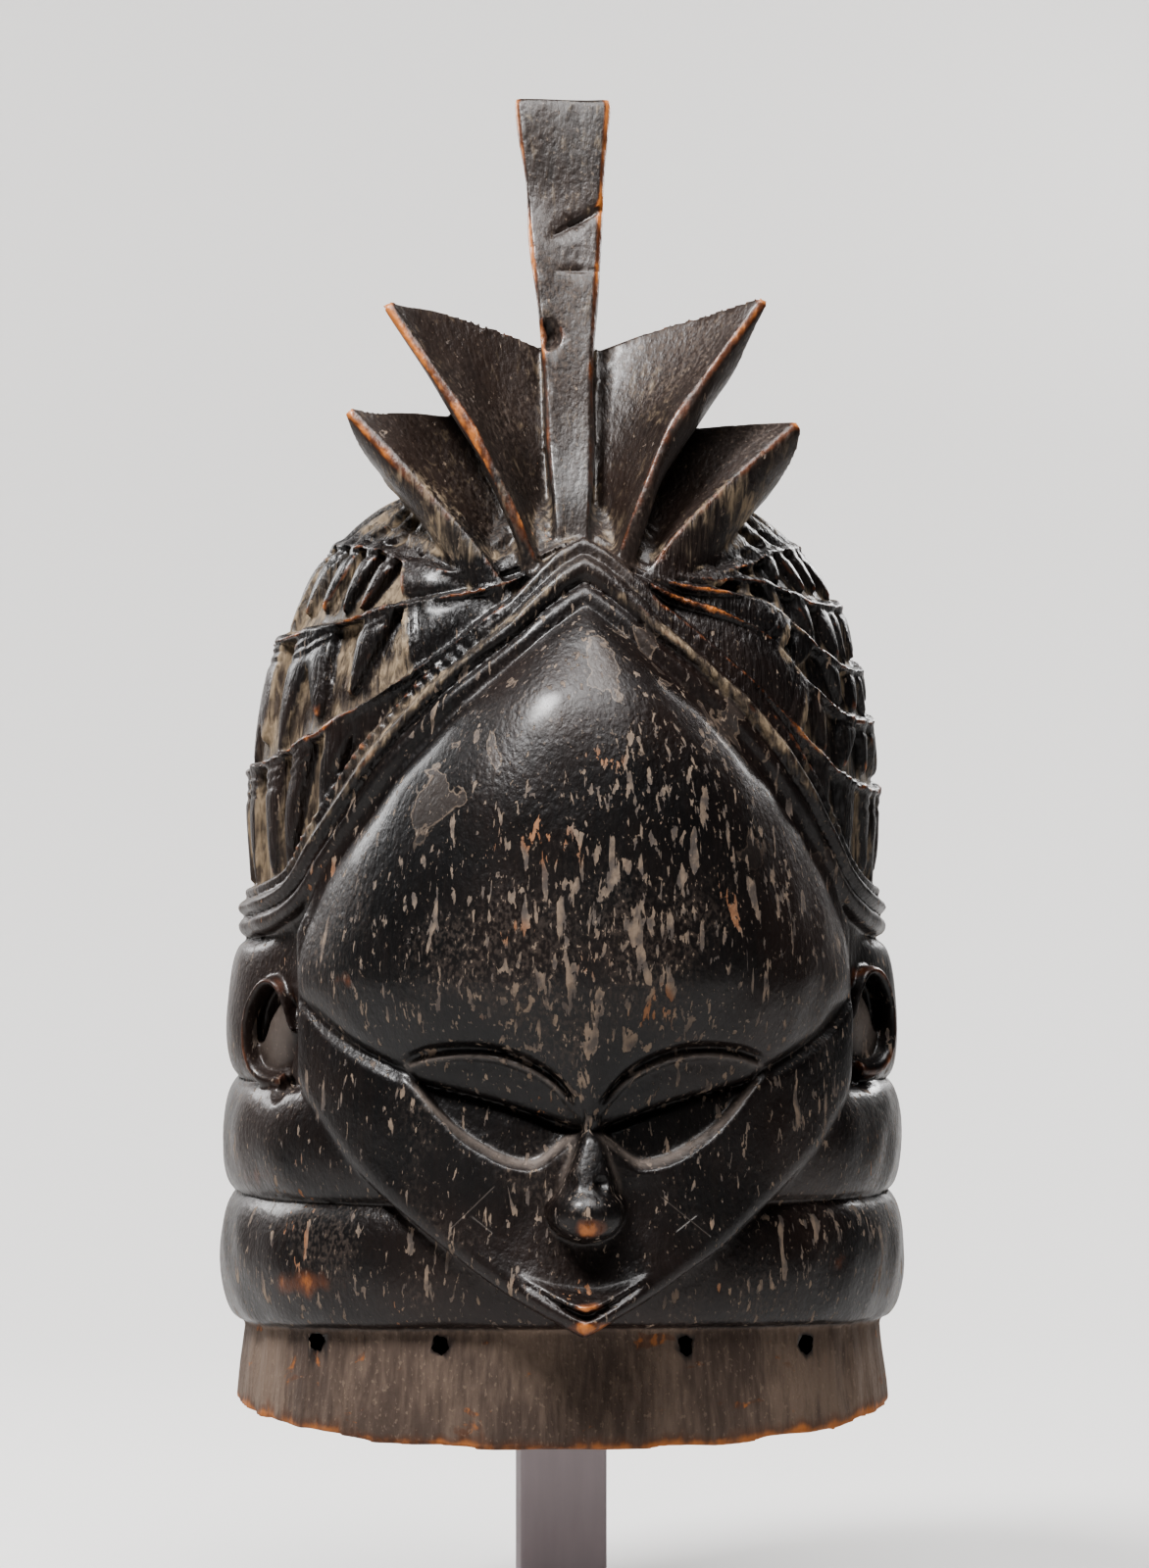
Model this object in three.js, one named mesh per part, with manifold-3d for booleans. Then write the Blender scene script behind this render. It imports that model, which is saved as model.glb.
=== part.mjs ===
// A helmet mask carved from one block of wood, held up from inside by a square display post on a plate foot.
//
// Millimetres, +Z up. The face looks along -Y, and the origin is the middle of the foot's underside.
// Heights in the mask are measured from its lower rim at the sides, and a group lifts it onto the post.
// Round the head an angle of 0 is the front and 90 degrees is +X, the mask's own left.
import * as THREE from "three";
import { mergeVertices } from "three/addons/utils/BufferGeometryUtils.js";
import Module from "manifold-3d";

const wasm = await Module();
wasm.setup();

// Driving sizes of the display stand
const FOOT_SIDE = 190;
const FOOT_THICKNESS = 10;
const FOOT_CORNER = 4;
const POST_SIDE = 29;
const POST_CORNER = 1.5;
const FIT_GAP = 0.3;
const MASK_LIFT = 100;

// Driving sizes of the head
const SECTION_POWER = 2.2;
const HEAD = { halfWidth: 107.5, front: 101, back: 122 };
const DOME_START = 178;
const DOME_RISE = 133;
const DOME_POWERS = { height: 2.7, radius: 2.5 };
const HAIR_GROUND = -5.5;
const BAND_GROUND = -1.5;
const COLUMNS = 36;

// Neck: a plain collar under three rolls of flesh, each between two creases
const COLLAR = { halfWidth: 107, front: 104, back: 114, flare: 3, frontDip: 6, middle: 10 };
const CREASES = [
  { height: 22, frontRise: 10, halfWidth: 107.5, front: 104, back: 115 },
  { height: 67, frontRise: 3, halfWidth: 107.5, front: 103, back: 115 },
  { height: 107, frontRise: -4, halfWidth: 106.5, front: 101, back: 114 },
  { height: 153, frontRise: 0, halfWidth: 103.5, front: 98, back: 116 },
];
const ROLL_BULGES = [8, 8, 8.5];
const ROLL_ANGLES = [-58, -20, 20, 58];
const NAPE_ROLL = 2;
const NAPE_ROLL_STARTS = [60, 80];

// Cavity for the wearer's head
const CAVITY = { halfWidth: 94, front: 91, back: 104, ceiling: 284, ceilingRadius: 26 };
const CAVITY_LEVELS = [
  { z: -30, share: 1.02, forward: 0 },
  { z: -1, share: 1.02, forward: 0 },
  { z: 30, share: 0.99, forward: 0 },
  { z: 90, share: 0.96, forward: 6 },
  { z: 130, share: 0.95, forward: 11 },
  { z: 170, share: 0.94, forward: 11 },
  { z: 205, share: 0.92, forward: 6 },
  { z: 232, share: 0.85, forward: 2 },
  { z: 254, share: 0.73, forward: -2 },
  { z: 271, share: 0.55, forward: -4 },
];
const CAVITY_COLUMNS = 20;

// Tie holes through the collar, just under its first roll, all cut straight along Y
const TIE_HOLE = { width: 5.4, height: 6.4, reach: 90, backHeight: 16 };
const TIE_HOLES = [[-82.9, 24.4], [-44.6, 26.1], [32.1, 26], [72.7, 23.5]];

// Face plate: its outline, then the sizes of its features
const FACE_HALF_WIDTH = 90.5;
const CHIN = 31;
const TEMPLE_LOW = 113;
const TEMPLE_HIGH = 130;
const FOREHEAD_TIP = 258;
const OUTLINE_POWERS = { jaw: 1.65, forehead: 2.05 };
const CHEEK_REACH = 108;
const FACE_COLUMNS = [2.5, 5, 8, 11, 15, 21, 28, 37, 47, 57.5, 67, 77, 85, 89.6];
const JAW_ROUNDING = 9;
const CHEEK_ROWS = [0.146, 0.3, 0.44, 0.6, 0.79, 1];
const FOREHEAD_ROWS = [0, 0.17, 0.36, 0.56, 0.75, 0.9, 1];
const LINE_GAP = 0.7;
const EYE = { outer: 57.5, innerRise: 9, outerRise: 14, rim: 2.3 };
const EYE_DEPTHS = { groove: 3.8, socket: 6.5, slit: 9.5, lid: 5, lidTop: 2.2 };
const OUTER_CREASE = 3.5;
const BROW = { gap: 4, stands: 0.8, turn: 22, turnShare: 0.45, undersideRows: [0.1, 0.45] };
const LIPS = { reach: 22, height: 9, lower: 4, slit: 3, upper: 6.5, fold: 1.5 };
const NOSE = { root: 97, tip: 68, foot: 61.5 };

const clamp = (value, low, high) => Math.min(high, Math.max(low, value));
const radians = THREE.MathUtils.degToRad;
const mix = THREE.MathUtils.lerp;

// A smooth curve through points [x, y], sorted by x, level past both ends.
function curve(points) {
  const slope = (i) => {
    const a = points[Math.max(0, i - 1)];
    const b = points[Math.min(points.length - 1, i + 1)];
    return (b[1] - a[1]) / (b[0] - a[0]);
  };
  return (x) => {
    if (x <= points[0][0]) return points[0][1];
    const next = points.findIndex((p) => p[0] >= x);
    if (next < 0) return points.at(-1)[1];
    const [x0, y0] = points[next - 1];
    const [x1, y1] = points[next];
    const span = x1 - x0;
    const t = (x - x0) / span;
    const rise = t * t * (3 - 2 * t);
    return (
      mix(y0, y1, rise) +
      span * (slope(next - 1) * t * (1 - t) ** 2 - slope(next) * t * t * (1 - t))
    );
  };
}

// How far a section reaches forward at x, as a share of its reach in the middle.
const sectionShare = (x, halfWidth) =>
  (1 - clamp(Math.abs(x) / halfWidth, 0, 0.999) ** SECTION_POWER) ** (1 / SECTION_POWER);

// A point on a horizontal section of the head.
function sectionPoint(angle, halfWidth, front, back, z) {
  const side = Math.sin(angle);
  const ahead = Math.cos(angle);
  const share = (value) => Math.sign(value) * Math.abs(value) ** (2 / SECTION_POWER);
  return new THREE.Vector3(halfWidth * share(side), -(ahead > 0 ? front : back) * share(ahead), z);
}

// Share of the dome's radius that is left at a height.
function domeShare(z, grow) {
  const rise = clamp((z - DOME_START) / (DOME_RISE + grow), 0, 1);
  return (1 - rise ** DOME_POWERS.height) ** (1 / DOME_POWERS.radius);
}

// A point on the head's dome or on the upright wall under it, grown outwards by a distance.
function headPoint(angle, z, grow = 0) {
  const share = domeShare(z, grow);
  return sectionPoint(
    angle,
    (HEAD.halfWidth + grow) * share,
    (HEAD.front + grow) * share,
    (HEAD.back + grow) * share,
    z,
  );
}

// A closed body from a grid of points, closed into a ring both ways or with a pole at either end.
function ringBody(rings, closedLoop = false) {
  const count = rings[0].length;
  const points = rings.flat();
  const faces = [];
  const last = closedLoop ? rings.length : rings.length - 1;
  for (let i = 0; i < last; i++) {
    const next = (i + 1) % rings.length;
    for (let j = 0; j < count; j++) {
      const k = (j + 1) % count;
      const [a, b] = [i * count + j, i * count + k];
      const [c, d] = [next * count + k, next * count + j];
      faces.push(a, b, c, a, c, d);
    }
  }
  if (!closedLoop) {
    for (const [row, turned] of [[0, true], [rings.length - 1, false]]) {
      const middle = new THREE.Vector3();
      rings[row].forEach((p) => middle.addScaledVector(p, 1 / count));
      points.push(middle);
      for (let j = 0; j < count; j++) {
        const [a, b] = [row * count + j, row * count + ((j + 1) % count)];
        faces.push(...(turned ? [b, a, points.length - 1] : [a, b, points.length - 1]));
      }
    }
  }
  return body(points, faces);
}

// A closed body between two equal grids of points, joined round their edges.
function slabBody(front, back) {
  const rows = front.length;
  const columns = front[0].length;
  const points = [...front.flat(), ...back.flat()];
  const faces = [];
  const at = (side, i, j) => side * rows * columns + i * columns + j;
  for (let i = 0; i < rows - 1; i++)
    for (let j = 0; j < columns - 1; j++)
      for (const side of [0, 1]) {
        const corners = [at(side, i, j), at(side, i, j + 1), at(side, i + 1, j + 1), at(side, i + 1, j)];
        const [a, b, c, d] = side ? corners.reverse() : corners;
        faces.push(a, b, c, a, c, d);
      }
  const edge = [];
  for (let j = 0; j < columns - 1; j++) edge.push([0, j]);
  for (let i = 0; i < rows - 1; i++) edge.push([i, columns - 1]);
  for (let j = columns - 1; j > 0; j--) edge.push([rows - 1, j]);
  for (let i = rows - 1; i > 0; i--) edge.push([i, 0]);
  edge.forEach(([i, j], n) => {
    const [k, l] = edge[(n + 1) % edge.length];
    faces.push(at(0, k, l), at(0, i, j), at(1, i, j), at(0, k, l), at(1, i, j), at(1, k, l));
  });
  return body(points, faces);
}

// Points and triangles as a solid, turned so that its faces point out.
function body(points, faces) {
  const geometry = new THREE.BufferGeometry().setFromPoints(points);
  geometry.setIndex(faces);
  return solid(geometry);
}

// A three.js geometry as a solid to join and cut.
function solid(geometry) {
  const bare = geometry.clone();
  for (const name of ["normal", "uv"]) bare.deleteAttribute(name);
  const merged = mergeVertices(bare, 1e-3);
  const vertProperties = new Float32Array(merged.attributes.position.array);
  const triVerts = new Uint32Array(merged.index.array).filter((_, i, all) => {
    const [a, b, c] = all.slice(i - (i % 3), i - (i % 3) + 3);
    return a !== b && b !== c && c !== a;
  });
  let volume = 0;
  const corner = (n) => new THREE.Vector3().fromArray(vertProperties, 3 * triVerts[n]);
  for (let i = 0; i < triVerts.length; i += 3)
    volume += corner(i).dot(corner(i + 1).cross(corner(i + 2)));
  if (volume < 0)
    for (let i = 0; i < triVerts.length; i += 3)
      [triVerts[i + 1], triVerts[i + 2]] = [triVerts[i + 2], triVerts[i + 1]];
  return new wasm.Manifold(new wasm.Mesh({ numProp: 3, vertProperties, triVerts }));
}

// A solid back as a three.js mesh.
function meshOf(manifold, name, material) {
  const { vertProperties, triVerts } = manifold.getMesh();
  const geometry = new THREE.BufferGeometry();
  geometry.setAttribute("position", new THREE.BufferAttribute(vertProperties, 3));
  geometry.setIndex(new THREE.BufferAttribute(triVerts, 1));
  geometry.computeVertexNormals();
  const mesh = new THREE.Mesh(geometry, material);
  mesh.name = name;
  return mesh;
}

const around = (count) => Array.from({ length: count }, (_, i) => (i * 2 * Math.PI) / count);

// Degrees from the front, either way round.
const turnedDegrees = (angle) =>
  Math.abs(THREE.MathUtils.euclideanModulo(THREE.MathUtils.radToDeg(angle) + 180, 360) - 180);

// 1 at the front of the head, falling to 0 at its back.
const towardsFront = (angle) => ((1 + Math.cos(angle)) / 2) ** 2;

// Core: collar, rolls and dome as one closed body, with its crown at one end and its base at the other.
function core() {
  const stations = [];
  const add = (height, halfWidth, front, back) =>
    stations.push((angle) => sectionPoint(angle, halfWidth, front, back, height(angle)));
  add((angle) => -COLLAR.frontDip * towardsFront(angle),
    COLLAR.halfWidth + COLLAR.flare, COLLAR.front + COLLAR.flare, COLLAR.back + COLLAR.flare);
  add(() => COLLAR.middle, COLLAR.halfWidth + 1, COLLAR.front + 1, COLLAR.back + 1);
  add((angle) => CREASES[0].height - 1.5 + CREASES[0].frontRise * towardsFront(angle),
    COLLAR.halfWidth, COLLAR.front, COLLAR.back);
  CREASES.forEach((low, n) => {
    const creaseHeight = (crease, angle) => crease.height + crease.frontRise * towardsFront(angle);
    add((angle) => creaseHeight(low, angle), low.halfWidth, low.front, low.back);
    const high = CREASES[n + 1];
    if (!high) return;
    for (const degrees of ROLL_ANGLES) {
      const up = (1 + Math.sin(radians(degrees))) / 2;
      const bulge = ROLL_BULGES[n] * Math.cos(radians(degrees)) ** 0.75;
      stations.push((angle) => {
        const turned = turnedDegrees(angle);
        const out = n === NAPE_ROLL ? bulge * THREE.MathUtils.smoothstep(turned, ...NAPE_ROLL_STARTS) : bulge;
        return sectionPoint(angle,
          mix(low.halfWidth, high.halfWidth, up) + out,
          mix(low.front, high.front, up) + out,
          mix(low.back, high.back, up) + out,
          mix(creaseHeight(low, angle), creaseHeight(high, angle), up));
      });
    }
  });
  for (const z of [165, 190, 215, 240, 262, 281, 296])
    stations.push((angle) => headPoint(angle, z, HAIR_GROUND));
  return ringBody(stations.map((station) => around(COLUMNS).map(station)));
}

// Cavity: open below, with a flat ceiling that rests on the post.
function cavity() {
  const rings = CAVITY_LEVELS.map(({ z, share, forward }) =>
    around(CAVITY_COLUMNS).map((angle) =>
      sectionPoint(angle, CAVITY.halfWidth * share, CAVITY.front * share + forward, CAVITY.back * share, z)));
  rings.push(around(CAVITY_COLUMNS).map((angle) =>
    sectionPoint(angle, CAVITY.ceilingRadius, CAVITY.ceilingRadius, CAVITY.ceilingRadius, CAVITY.ceiling)));
  return ringBody(rings);
}

// Outline of the face plate: the height of its edge over a place across, and its half-width at a height.
const edgeShare = (x, power) => 1 - (1 - Math.abs(x) / FACE_HALF_WIDTH) ** (1 / power);
const jawLine = (x) => mix(CHIN, TEMPLE_LOW, edgeShare(x, OUTLINE_POWERS.jaw));
const foreheadLine = (x) => mix(FOREHEAD_TIP, TEMPLE_HIGH, edgeShare(x, OUTLINE_POWERS.forehead));

function foreheadHalfWidth(z) {
  const fallen = clamp((FOREHEAD_TIP - z) / (FOREHEAD_TIP - TEMPLE_HIGH), 0, 1);
  return FACE_HALF_WIDTH * (1 - (1 - fallen) ** OUTLINE_POWERS.forehead);
}

// Lines of the features: their height over the distance from the middle.
const browLine = curve([
  [0, 97.5], [3, 101.5], [12, 110.5], [24, 116.6], [36, 118.2], [48, 117], [57.5, 114],
  [62, 115.5], [72, 120.6], [81, 127], [89.6, 136],
]);
const slitLine = curve([[0, 96], [4, 96.4], [20, 102.6], [39, 108.6], [57.5, 113.2]]);
const lidLowLine = curve([
  [0, 94.8], [4.6, 93.6], [10, 87.5], [16, 84.8], [24, 86.6], [33, 90.6], [42, 98], [51, 106.3],
  [57.5, 112.4],
]);
const mouthLine = (x) => Math.max(37.9 + 10.6 * (Math.abs(x) / 21) ** 1.15, jawLine(x) + LINE_GAP);

// Depths, measured forward from the mask's axis.
const cheekMiddle = curve([
  [31, 129], [40, 127], [50, 123.5], [60, 121], [75, 119.5], [97, 118], [113, 117], [130, 116],
]);
const foreheadRise = curve([
  [97, 16], [120, 19.5], [135, 22.5], [150, 25.5], [171, 28], [186, 28], [204, 25], [220, 21], [230, 18],
  [240, 13], [249, 8], [258, 1],
]);
const foreheadEdge = curve([[140, 6], [175, 1], [258, 1]]);
const cheekDepth = (x, z) => cheekMiddle(z) * sectionShare(x, CHEEK_REACH);

function foreheadDepth(x, z) {
  const share = domeShare(z, 0);
  const across = clamp(Math.abs(x) / Math.max(1, foreheadHalfWidth(z)), 0, 1);
  const shell = HEAD.front * share * sectionShare(x, HEAD.halfWidth * share);
  return shell + foreheadEdge(z) + foreheadRise(z) * (1 - across ** 2) ** 0.6;
}

// The nose: a narrow wedge that swells into a round tip.
const noseHalfWidth = curve([[NOSE.foot, 7], [NOSE.tip, 10.8], [76, 8.6], [85, 6], [NOSE.root, 4.2]]);
const noseHeight = curve([[NOSE.foot, 3], [64.5, 13], [NOSE.tip, 16], [76, 12.5], [85, 8.5], [NOSE.root, 3]]);

function noseDepth(x, z) {
  if (z < NOSE.foot || z > NOSE.root + 1) return 0;
  const across = Math.abs(x) / noseHalfWidth(z);
  return across < 1 ? noseHeight(z) * (1 - across ** 2.4) ** 0.6 : 0;
}

// How far an eye is open: 1 in its middle, 0 at its corners and beyond.
const eyeOpening = (far) =>
  Math.sqrt(clamp(Math.min(far / EYE.innerRise, (EYE.outer - far) / EYE.outerRise), 0, 1));

// Rows of one column of the face, from the jaw up: height and depth.
function faceColumn(x) {
  const far = Math.abs(x);
  const open = eyeOpening(far);
  const lip = clamp(1 - far / LIPS.reach, 0, 1) ** 0.6;
  const jaw = jawLine(x);
  const mouth = mouthLine(x);
  const top = foreheadLine(x);
  const brow = Math.min(browLine(far), top - BROW.gap);
  const slit = Math.min(slitLine(far), brow - LINE_GAP);
  const low = Math.min(lidLowLine(far), slit - LINE_GAP);
  const lipTop = Math.min(mouth + LIPS.height, mix(mouth, low, 0.3));
  const rim = low - EYE.rim * open - 0.1;
  const shut = (openDepth, shutDepth) => -mix(shutDepth, openDepth, open);
  const cheek = (z, out = 0) => [z, cheekDepth(x, z) + noseDepth(x, z) + out];
  const underBrow = (z) => cheekDepth(x, z) + mix(-OUTER_CREASE, BROW.stands, open);
  const turn = Math.min(BROW.turn, BROW.turnShare * (top - brow));
  return [
    cheek(jaw, -JAW_ROUNDING),
    cheek(mix(jaw, mouth, 0.4), mix(-2.5, LIPS.lower - 1, lip)),
    cheek(mix(jaw, mouth, 0.7), mix(-1, LIPS.lower, lip)),
    cheek(mouth, -LIPS.slit * lip),
    cheek(mix(mouth, lipTop, 0.12), (LIPS.upper - 1.5) * lip),
    cheek(mix(mouth, lipTop, 0.5), LIPS.upper * lip),
    cheek(lipTop, LIPS.fold * lip),
    ...CHEEK_ROWS.map((share) => cheek(mix(lipTop, rim, share))),
    cheek(low, -EYE_DEPTHS.groove * open),
    cheek(mix(low, slit, 0.5), -EYE_DEPTHS.socket * open),
    cheek(slit - LINE_GAP / 2, shut(EYE_DEPTHS.slit, 1.5)),
    cheek(slit + LINE_GAP / 2, shut(EYE_DEPTHS.lid, 2)),
    cheek(mix(slit, brow, 0.5), shut(EYE_DEPTHS.lidTop, 2.5)),
    [brow, underBrow(brow)],
    ...BROW.undersideRows.map((share) => {
      const z = brow + turn * share;
      return [z, mix(underBrow(z), foreheadDepth(x, z), Math.sqrt(1 - (1 - share) ** 2))];
    }),
    ...FOREHEAD_ROWS.map((share) => {
      const z = mix(brow + turn, top, share);
      return [z, foreheadDepth(x, z)];
    }),
  ];
}

// Face plate: the carved front over a hidden back that lies in the core's wall.
const PLATE_BACK = { front: 92, halfWidth: 100.5, domeGrow: -20, taper: 0.98, least: 2 };

function face() {
  const columns = [...FACE_COLUMNS.map((x) => -x).reverse(), 0, ...FACE_COLUMNS];
  const wall = (x, z) => {
    const share = domeShare(z, PLATE_BACK.domeGrow);
    return PLATE_BACK.front * share * sectionShare(x, PLATE_BACK.halfWidth * share);
  };
  const backPoint = ({ x, y, z }) =>
    new THREE.Vector3(x * PLATE_BACK.taper, -Math.min(wall(x, z), -y - PLATE_BACK.least), z);
  const front = columns.map((x) => faceColumn(x).map(([z, depth]) => new THREE.Vector3(x, -depth, z)));
  return slabBody(front, front.map((column) => column.map(backPoint)));
}

// Headband: two cords and a hatched edge, from over the forehead down to the ears and round the back.
const bandHeight = curve([
  [0, 261], [5, 257], [10, 250.5], [19, 238], [28, 222], [36, 206], [45, 188.5], [52, 174], [60, 165],
  [72, 160.5], [90, 159], [180, 158],
]);
const BAND_SECTION = [
  [-3.4, -8], [-2.8, 0.6], [0, 3.2], [2.6, 0.9], [5.4, 3.6], [8.2, 0.9], [12.6, 1.2], [13.2, -8],
];

const BAND_ANGLES = [0, 4, 9, 14, 20, 27, 34, 41, 48, 54, 61, 69, 80, 100, 120, 140, 160];
const MITRE_STRETCH = 1.55;

function headband() {
  const angles = [...BAND_ANGLES.slice(1).map((a) => -a).reverse(), ...BAND_ANGLES, 180];
  const ground = (degrees) =>
    headPoint(radians(degrees), bandHeight(Math.abs(degrees)), BAND_GROUND);
  const sections = angles.map((degrees) => {
    const along = ground(degrees + 1.5).sub(ground(degrees - 1.5)).normalize();
    if (degrees === 0 || degrees === 180) along.set(Math.sign(90 - degrees), 0, 0);
    const here = ground(degrees);
    const near = (turn, rise) => headPoint(radians(degrees + turn), here.z + rise, BAND_GROUND);
    const outward = near(2, 0).sub(near(-2, 0)).cross(near(0, 2).sub(near(0, -2))).normalize();
    const across = new THREE.Vector3().crossVectors(outward, along).normalize();
    const stretch = degrees === 0 ? MITRE_STRETCH : 1;
    return BAND_SECTION.map(([u, v]) =>
      here.clone().addScaledVector(across, u * stretch).addScaledVector(outward, v));
  });
  return ringBody(sections, true);
}

// Hair: tiers of pointed locks, each tier hanging from a cord and thinning to its points.
const hairLines = [
  (degrees) => bandHeight(degrees) + 9,
  curve([[0, 276], [14, 262], [29, 240], [50, 222], [90, 213], [180, 209]]),
  curve([[0, 280], [14, 267], [41, 259], [67, 253], [90, 252], [180, 250]]),
  curve([[0, 283], [17, 271], [46, 276.5], [71, 283], [90, 285], [180, 286]]),
];
const LOCK_COUNTS = [26, 22, 18];
const LOCK_NOTCH = 0.62;
const LOCK_EDGE_GROW = -1;
const TIER_ROOT = HAIR_GROUND - 4;
const CORD_GROW = 0.4;
const POINT_GROW = -2.5;
const HAIR_SINKS = { by: 3, from: 8, to: 26 };

function hairTier(n) {
  const count = LOCK_COUNTS[n];
  const sections = around(count * 2).map((angle, i) => {
    const turned = turnedDegrees(angle);
    const low = hairLines[n](turned);
    const high = hairLines[n + 1](turned);
    const point = i % 2 ? low : mix(low, high, LOCK_NOTCH);
    const between = mix(point, high, 0.5);
    const sunk = HAIR_SINKS.by * (1 - THREE.MathUtils.smoothstep(turned, HAIR_SINKS.from, HAIR_SINKS.to));
    return [
      headPoint(angle, point, (i % 2 ? POINT_GROW : LOCK_EDGE_GROW) - sunk),
      headPoint(angle, between, -sunk),
      headPoint(angle, high - 0.5, CORD_GROW - sunk),
      headPoint(angle, high, TIER_ROOT),
      headPoint(angle, between, TIER_ROOT),
      headPoint(angle, point, TIER_ROOT),
    ];
  });
  return ringBody(sections, true);
}

// Crown cap: the hair over the highest cord.
const CAP_COLUMNS = 24;

function crownCap() {
  const edge = (angle) => hairLines[3](turnedDegrees(angle));
  const crown = DOME_START + DOME_RISE;
  const outer = [0, 0.4, 0.8].map((share) =>
    around(CAP_COLUMNS).map((angle) => headPoint(angle, mix(edge(angle), crown, share))));
  const base = around(CAP_COLUMNS).map((angle) => headPoint(angle, edge(angle), TIER_ROOT));
  return ringBody([base, ...outer]);
}

// Ears: an oval rim round a shallow bowl, set at the side of the face and turned half forward.
const EAR = { side: 97.5, front: 48, height: 123.5, turn: 40, halfWidth: 11.5, halfHeight: 17 };
const EAR_RIM = { radius: 3.2, deepen: 1.25 };
const EAR_BOWL = { grow: 1, depth: 7, sunk: 8 };
const TRAGUS = { size: [3, 9, 4.5], inwards: 6.3, lower: 2 };

function ear(sign) {
  const place = (geometry) => {
    geometry.rotateX(Math.PI / 2);
    geometry.rotateZ(radians(sign * EAR.turn));
    geometry.translate(sign * EAR.side, -EAR.front, EAR.height);
    return solid(geometry);
  };
  const rim = new THREE.TorusGeometry(1, EAR_RIM.radius / EAR.halfWidth, 5, 14);
  rim.scale(EAR.halfWidth, EAR.halfHeight, EAR.halfWidth * EAR_RIM.deepen);
  const bowl = new THREE.SphereGeometry(1, 10, 6);
  bowl.scale(EAR.halfWidth + EAR_BOWL.grow, EAR.halfHeight, EAR_BOWL.depth);
  bowl.translate(0, 0, -EAR_BOWL.sunk);
  const tragus = new THREE.SphereGeometry(1, 8, 4);
  tragus.scale(...TRAGUS.size);
  tragus.translate(-sign * TRAGUS.inwards, -TRAGUS.lower, 0);
  return place(rim).add(place(bowl)).add(place(tragus));
}

// Crest: a tall blade between two pairs of pointed wings.
// Every level of the blade gives its front edge, how deep it runs back and how wide it is.
const BLADE_SHIFT = -1.5;
const BLADE_BEVEL = 1.2;
const BLADE_BACK_TAPER = 0.8;
const BLADE_LEVELS = [
  { z: 262, front: -80, depth: 108, halfWidth: 6.8 },
  { z: 287, front: -76, depth: 96, halfWidth: 7.3 },
  { z: 310, front: -66, depth: 70, halfWidth: 8.3 },
  { z: 343, front: -56, depth: 44, halfWidth: 9.8 },
  { z: 390, front: -41, depth: 31, halfWidth: 13.3 },
  { z: 429, front: -31, depth: 27, halfWidth: 15.5 },
  { z: 430.5, front: -30, depth: 25.5, halfWidth: 14.8 },
];

function blade() {
  return ringBody(BLADE_LEVELS.map(({ z, front, depth, halfWidth }) => {
    const back = halfWidth * BLADE_BACK_TAPER;
    return [
      [-halfWidth + BLADE_BEVEL, 0], [halfWidth - BLADE_BEVEL, 0], [halfWidth, BLADE_BEVEL],
      [back, depth - BLADE_BEVEL], [back - BLADE_BEVEL, depth], [-back + BLADE_BEVEL, depth],
      [-back, depth - BLADE_BEVEL], [-halfWidth, BLADE_BEVEL],
    ].map(([dx, dy]) => new THREE.Vector3(BLADE_SHIFT + dx, front + dy, z));
  }));
}

// Each wing's lines from root to tip, with x outwards: its front ridge and the grooves on either side.
const WINGS = [
  {
    side: -1,
    ridge: [[13, -84, 268], [22.5, -83, 291], [35.5, -77, 317], [60.7, -65, 356.4]],
    inner: [[5, -70, 266], [7, -56, 305], [8, -42, 345.5]],
    outer: [[16, -80, 266], [21.5, -73, 288], [30.5, -64, 310], [38.5, -55, 326]],
    flank: 1.5,
  },
  {
    side: 1,
    ridge: [[11, -84, 268], [20, -83, 292], [31, -77, 317], [61, -65, 359]],
    inner: [[2, -70, 266], [4, -56, 305], [5, -42, 344]],
    outer: [[14, -80, 266], [20.5, -73, 288], [30, -64, 306], [38.5, -55, 318]],
    flank: 3,
  },
  {
    side: -1,
    ridge: [[22, -84, 260], [35, -81, 279], [53, -72, 299.5], [72.8, -62, 322.4]],
    inner: [[14, -74, 262], [19, -68, 284], [28, -57, 306], [33, -48, 322]],
    outer: [[28, -80, 256], [40, -70, 273], [50, -59, 288.5], [57, -50, 297]],
    flank: 3,
  },
  {
    side: 1,
    ridge: [[18, -84, 260], [30.5, -81, 279.5], [52, -72, 301], [72.2, -62, 319]],
    inner: [[12, -74, 262], [18, -68, 284], [28, -57, 304], [33, -48, 314]],
    outer: [[26, -80, 254], [38, -70, 267], [50, -59, 281], [58, -50, 291]],
    flank: 6,
  },
];
const WING_STATIONS = 6;
const WING_DEPTHS = { ridge: [66, 10], groove: [60, 16] };
const WING_HOLLOW = 3.5;

// Wing: a leaf with a sharp front ridge, hollow on its inner side and full on its outer side.
function wing({ side, ridge, inner, outer, flank }) {
  const line = (points) =>
    new THREE.CatmullRomCurve3(points.map(([x, y, z]) => new THREE.Vector3(side * x, y, z)));
  const [ridgeLine, innerLine, outerLine] = [ridge, inner, outer].map(line);
  return ringBody(Array.from({ length: WING_STATIONS + 1 }, (_, i) => {
    const t = i / WING_STATIONS;
    const [front, near, far] = [ridgeLine, innerLine, outerLine].map((l) => l.getPoint(t));
    const hollow = front.clone().lerp(near, 0.5).add(new THREE.Vector3(0, WING_HOLLOW * (1 - 0.5 * t), 0));
    const full = front.clone().lerp(far, 0.45).add(new THREE.Vector3(side * flank, 0, 0));
    const behind = (p, [root, tip]) => p.clone().add(new THREE.Vector3(0, mix(root, tip, t), t));
    return [
      front, hollow, near, behind(near, WING_DEPTHS.groove), behind(front, WING_DEPTHS.ridge),
      behind(far, WING_DEPTHS.groove), far, full,
    ];
  }));
}

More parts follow.
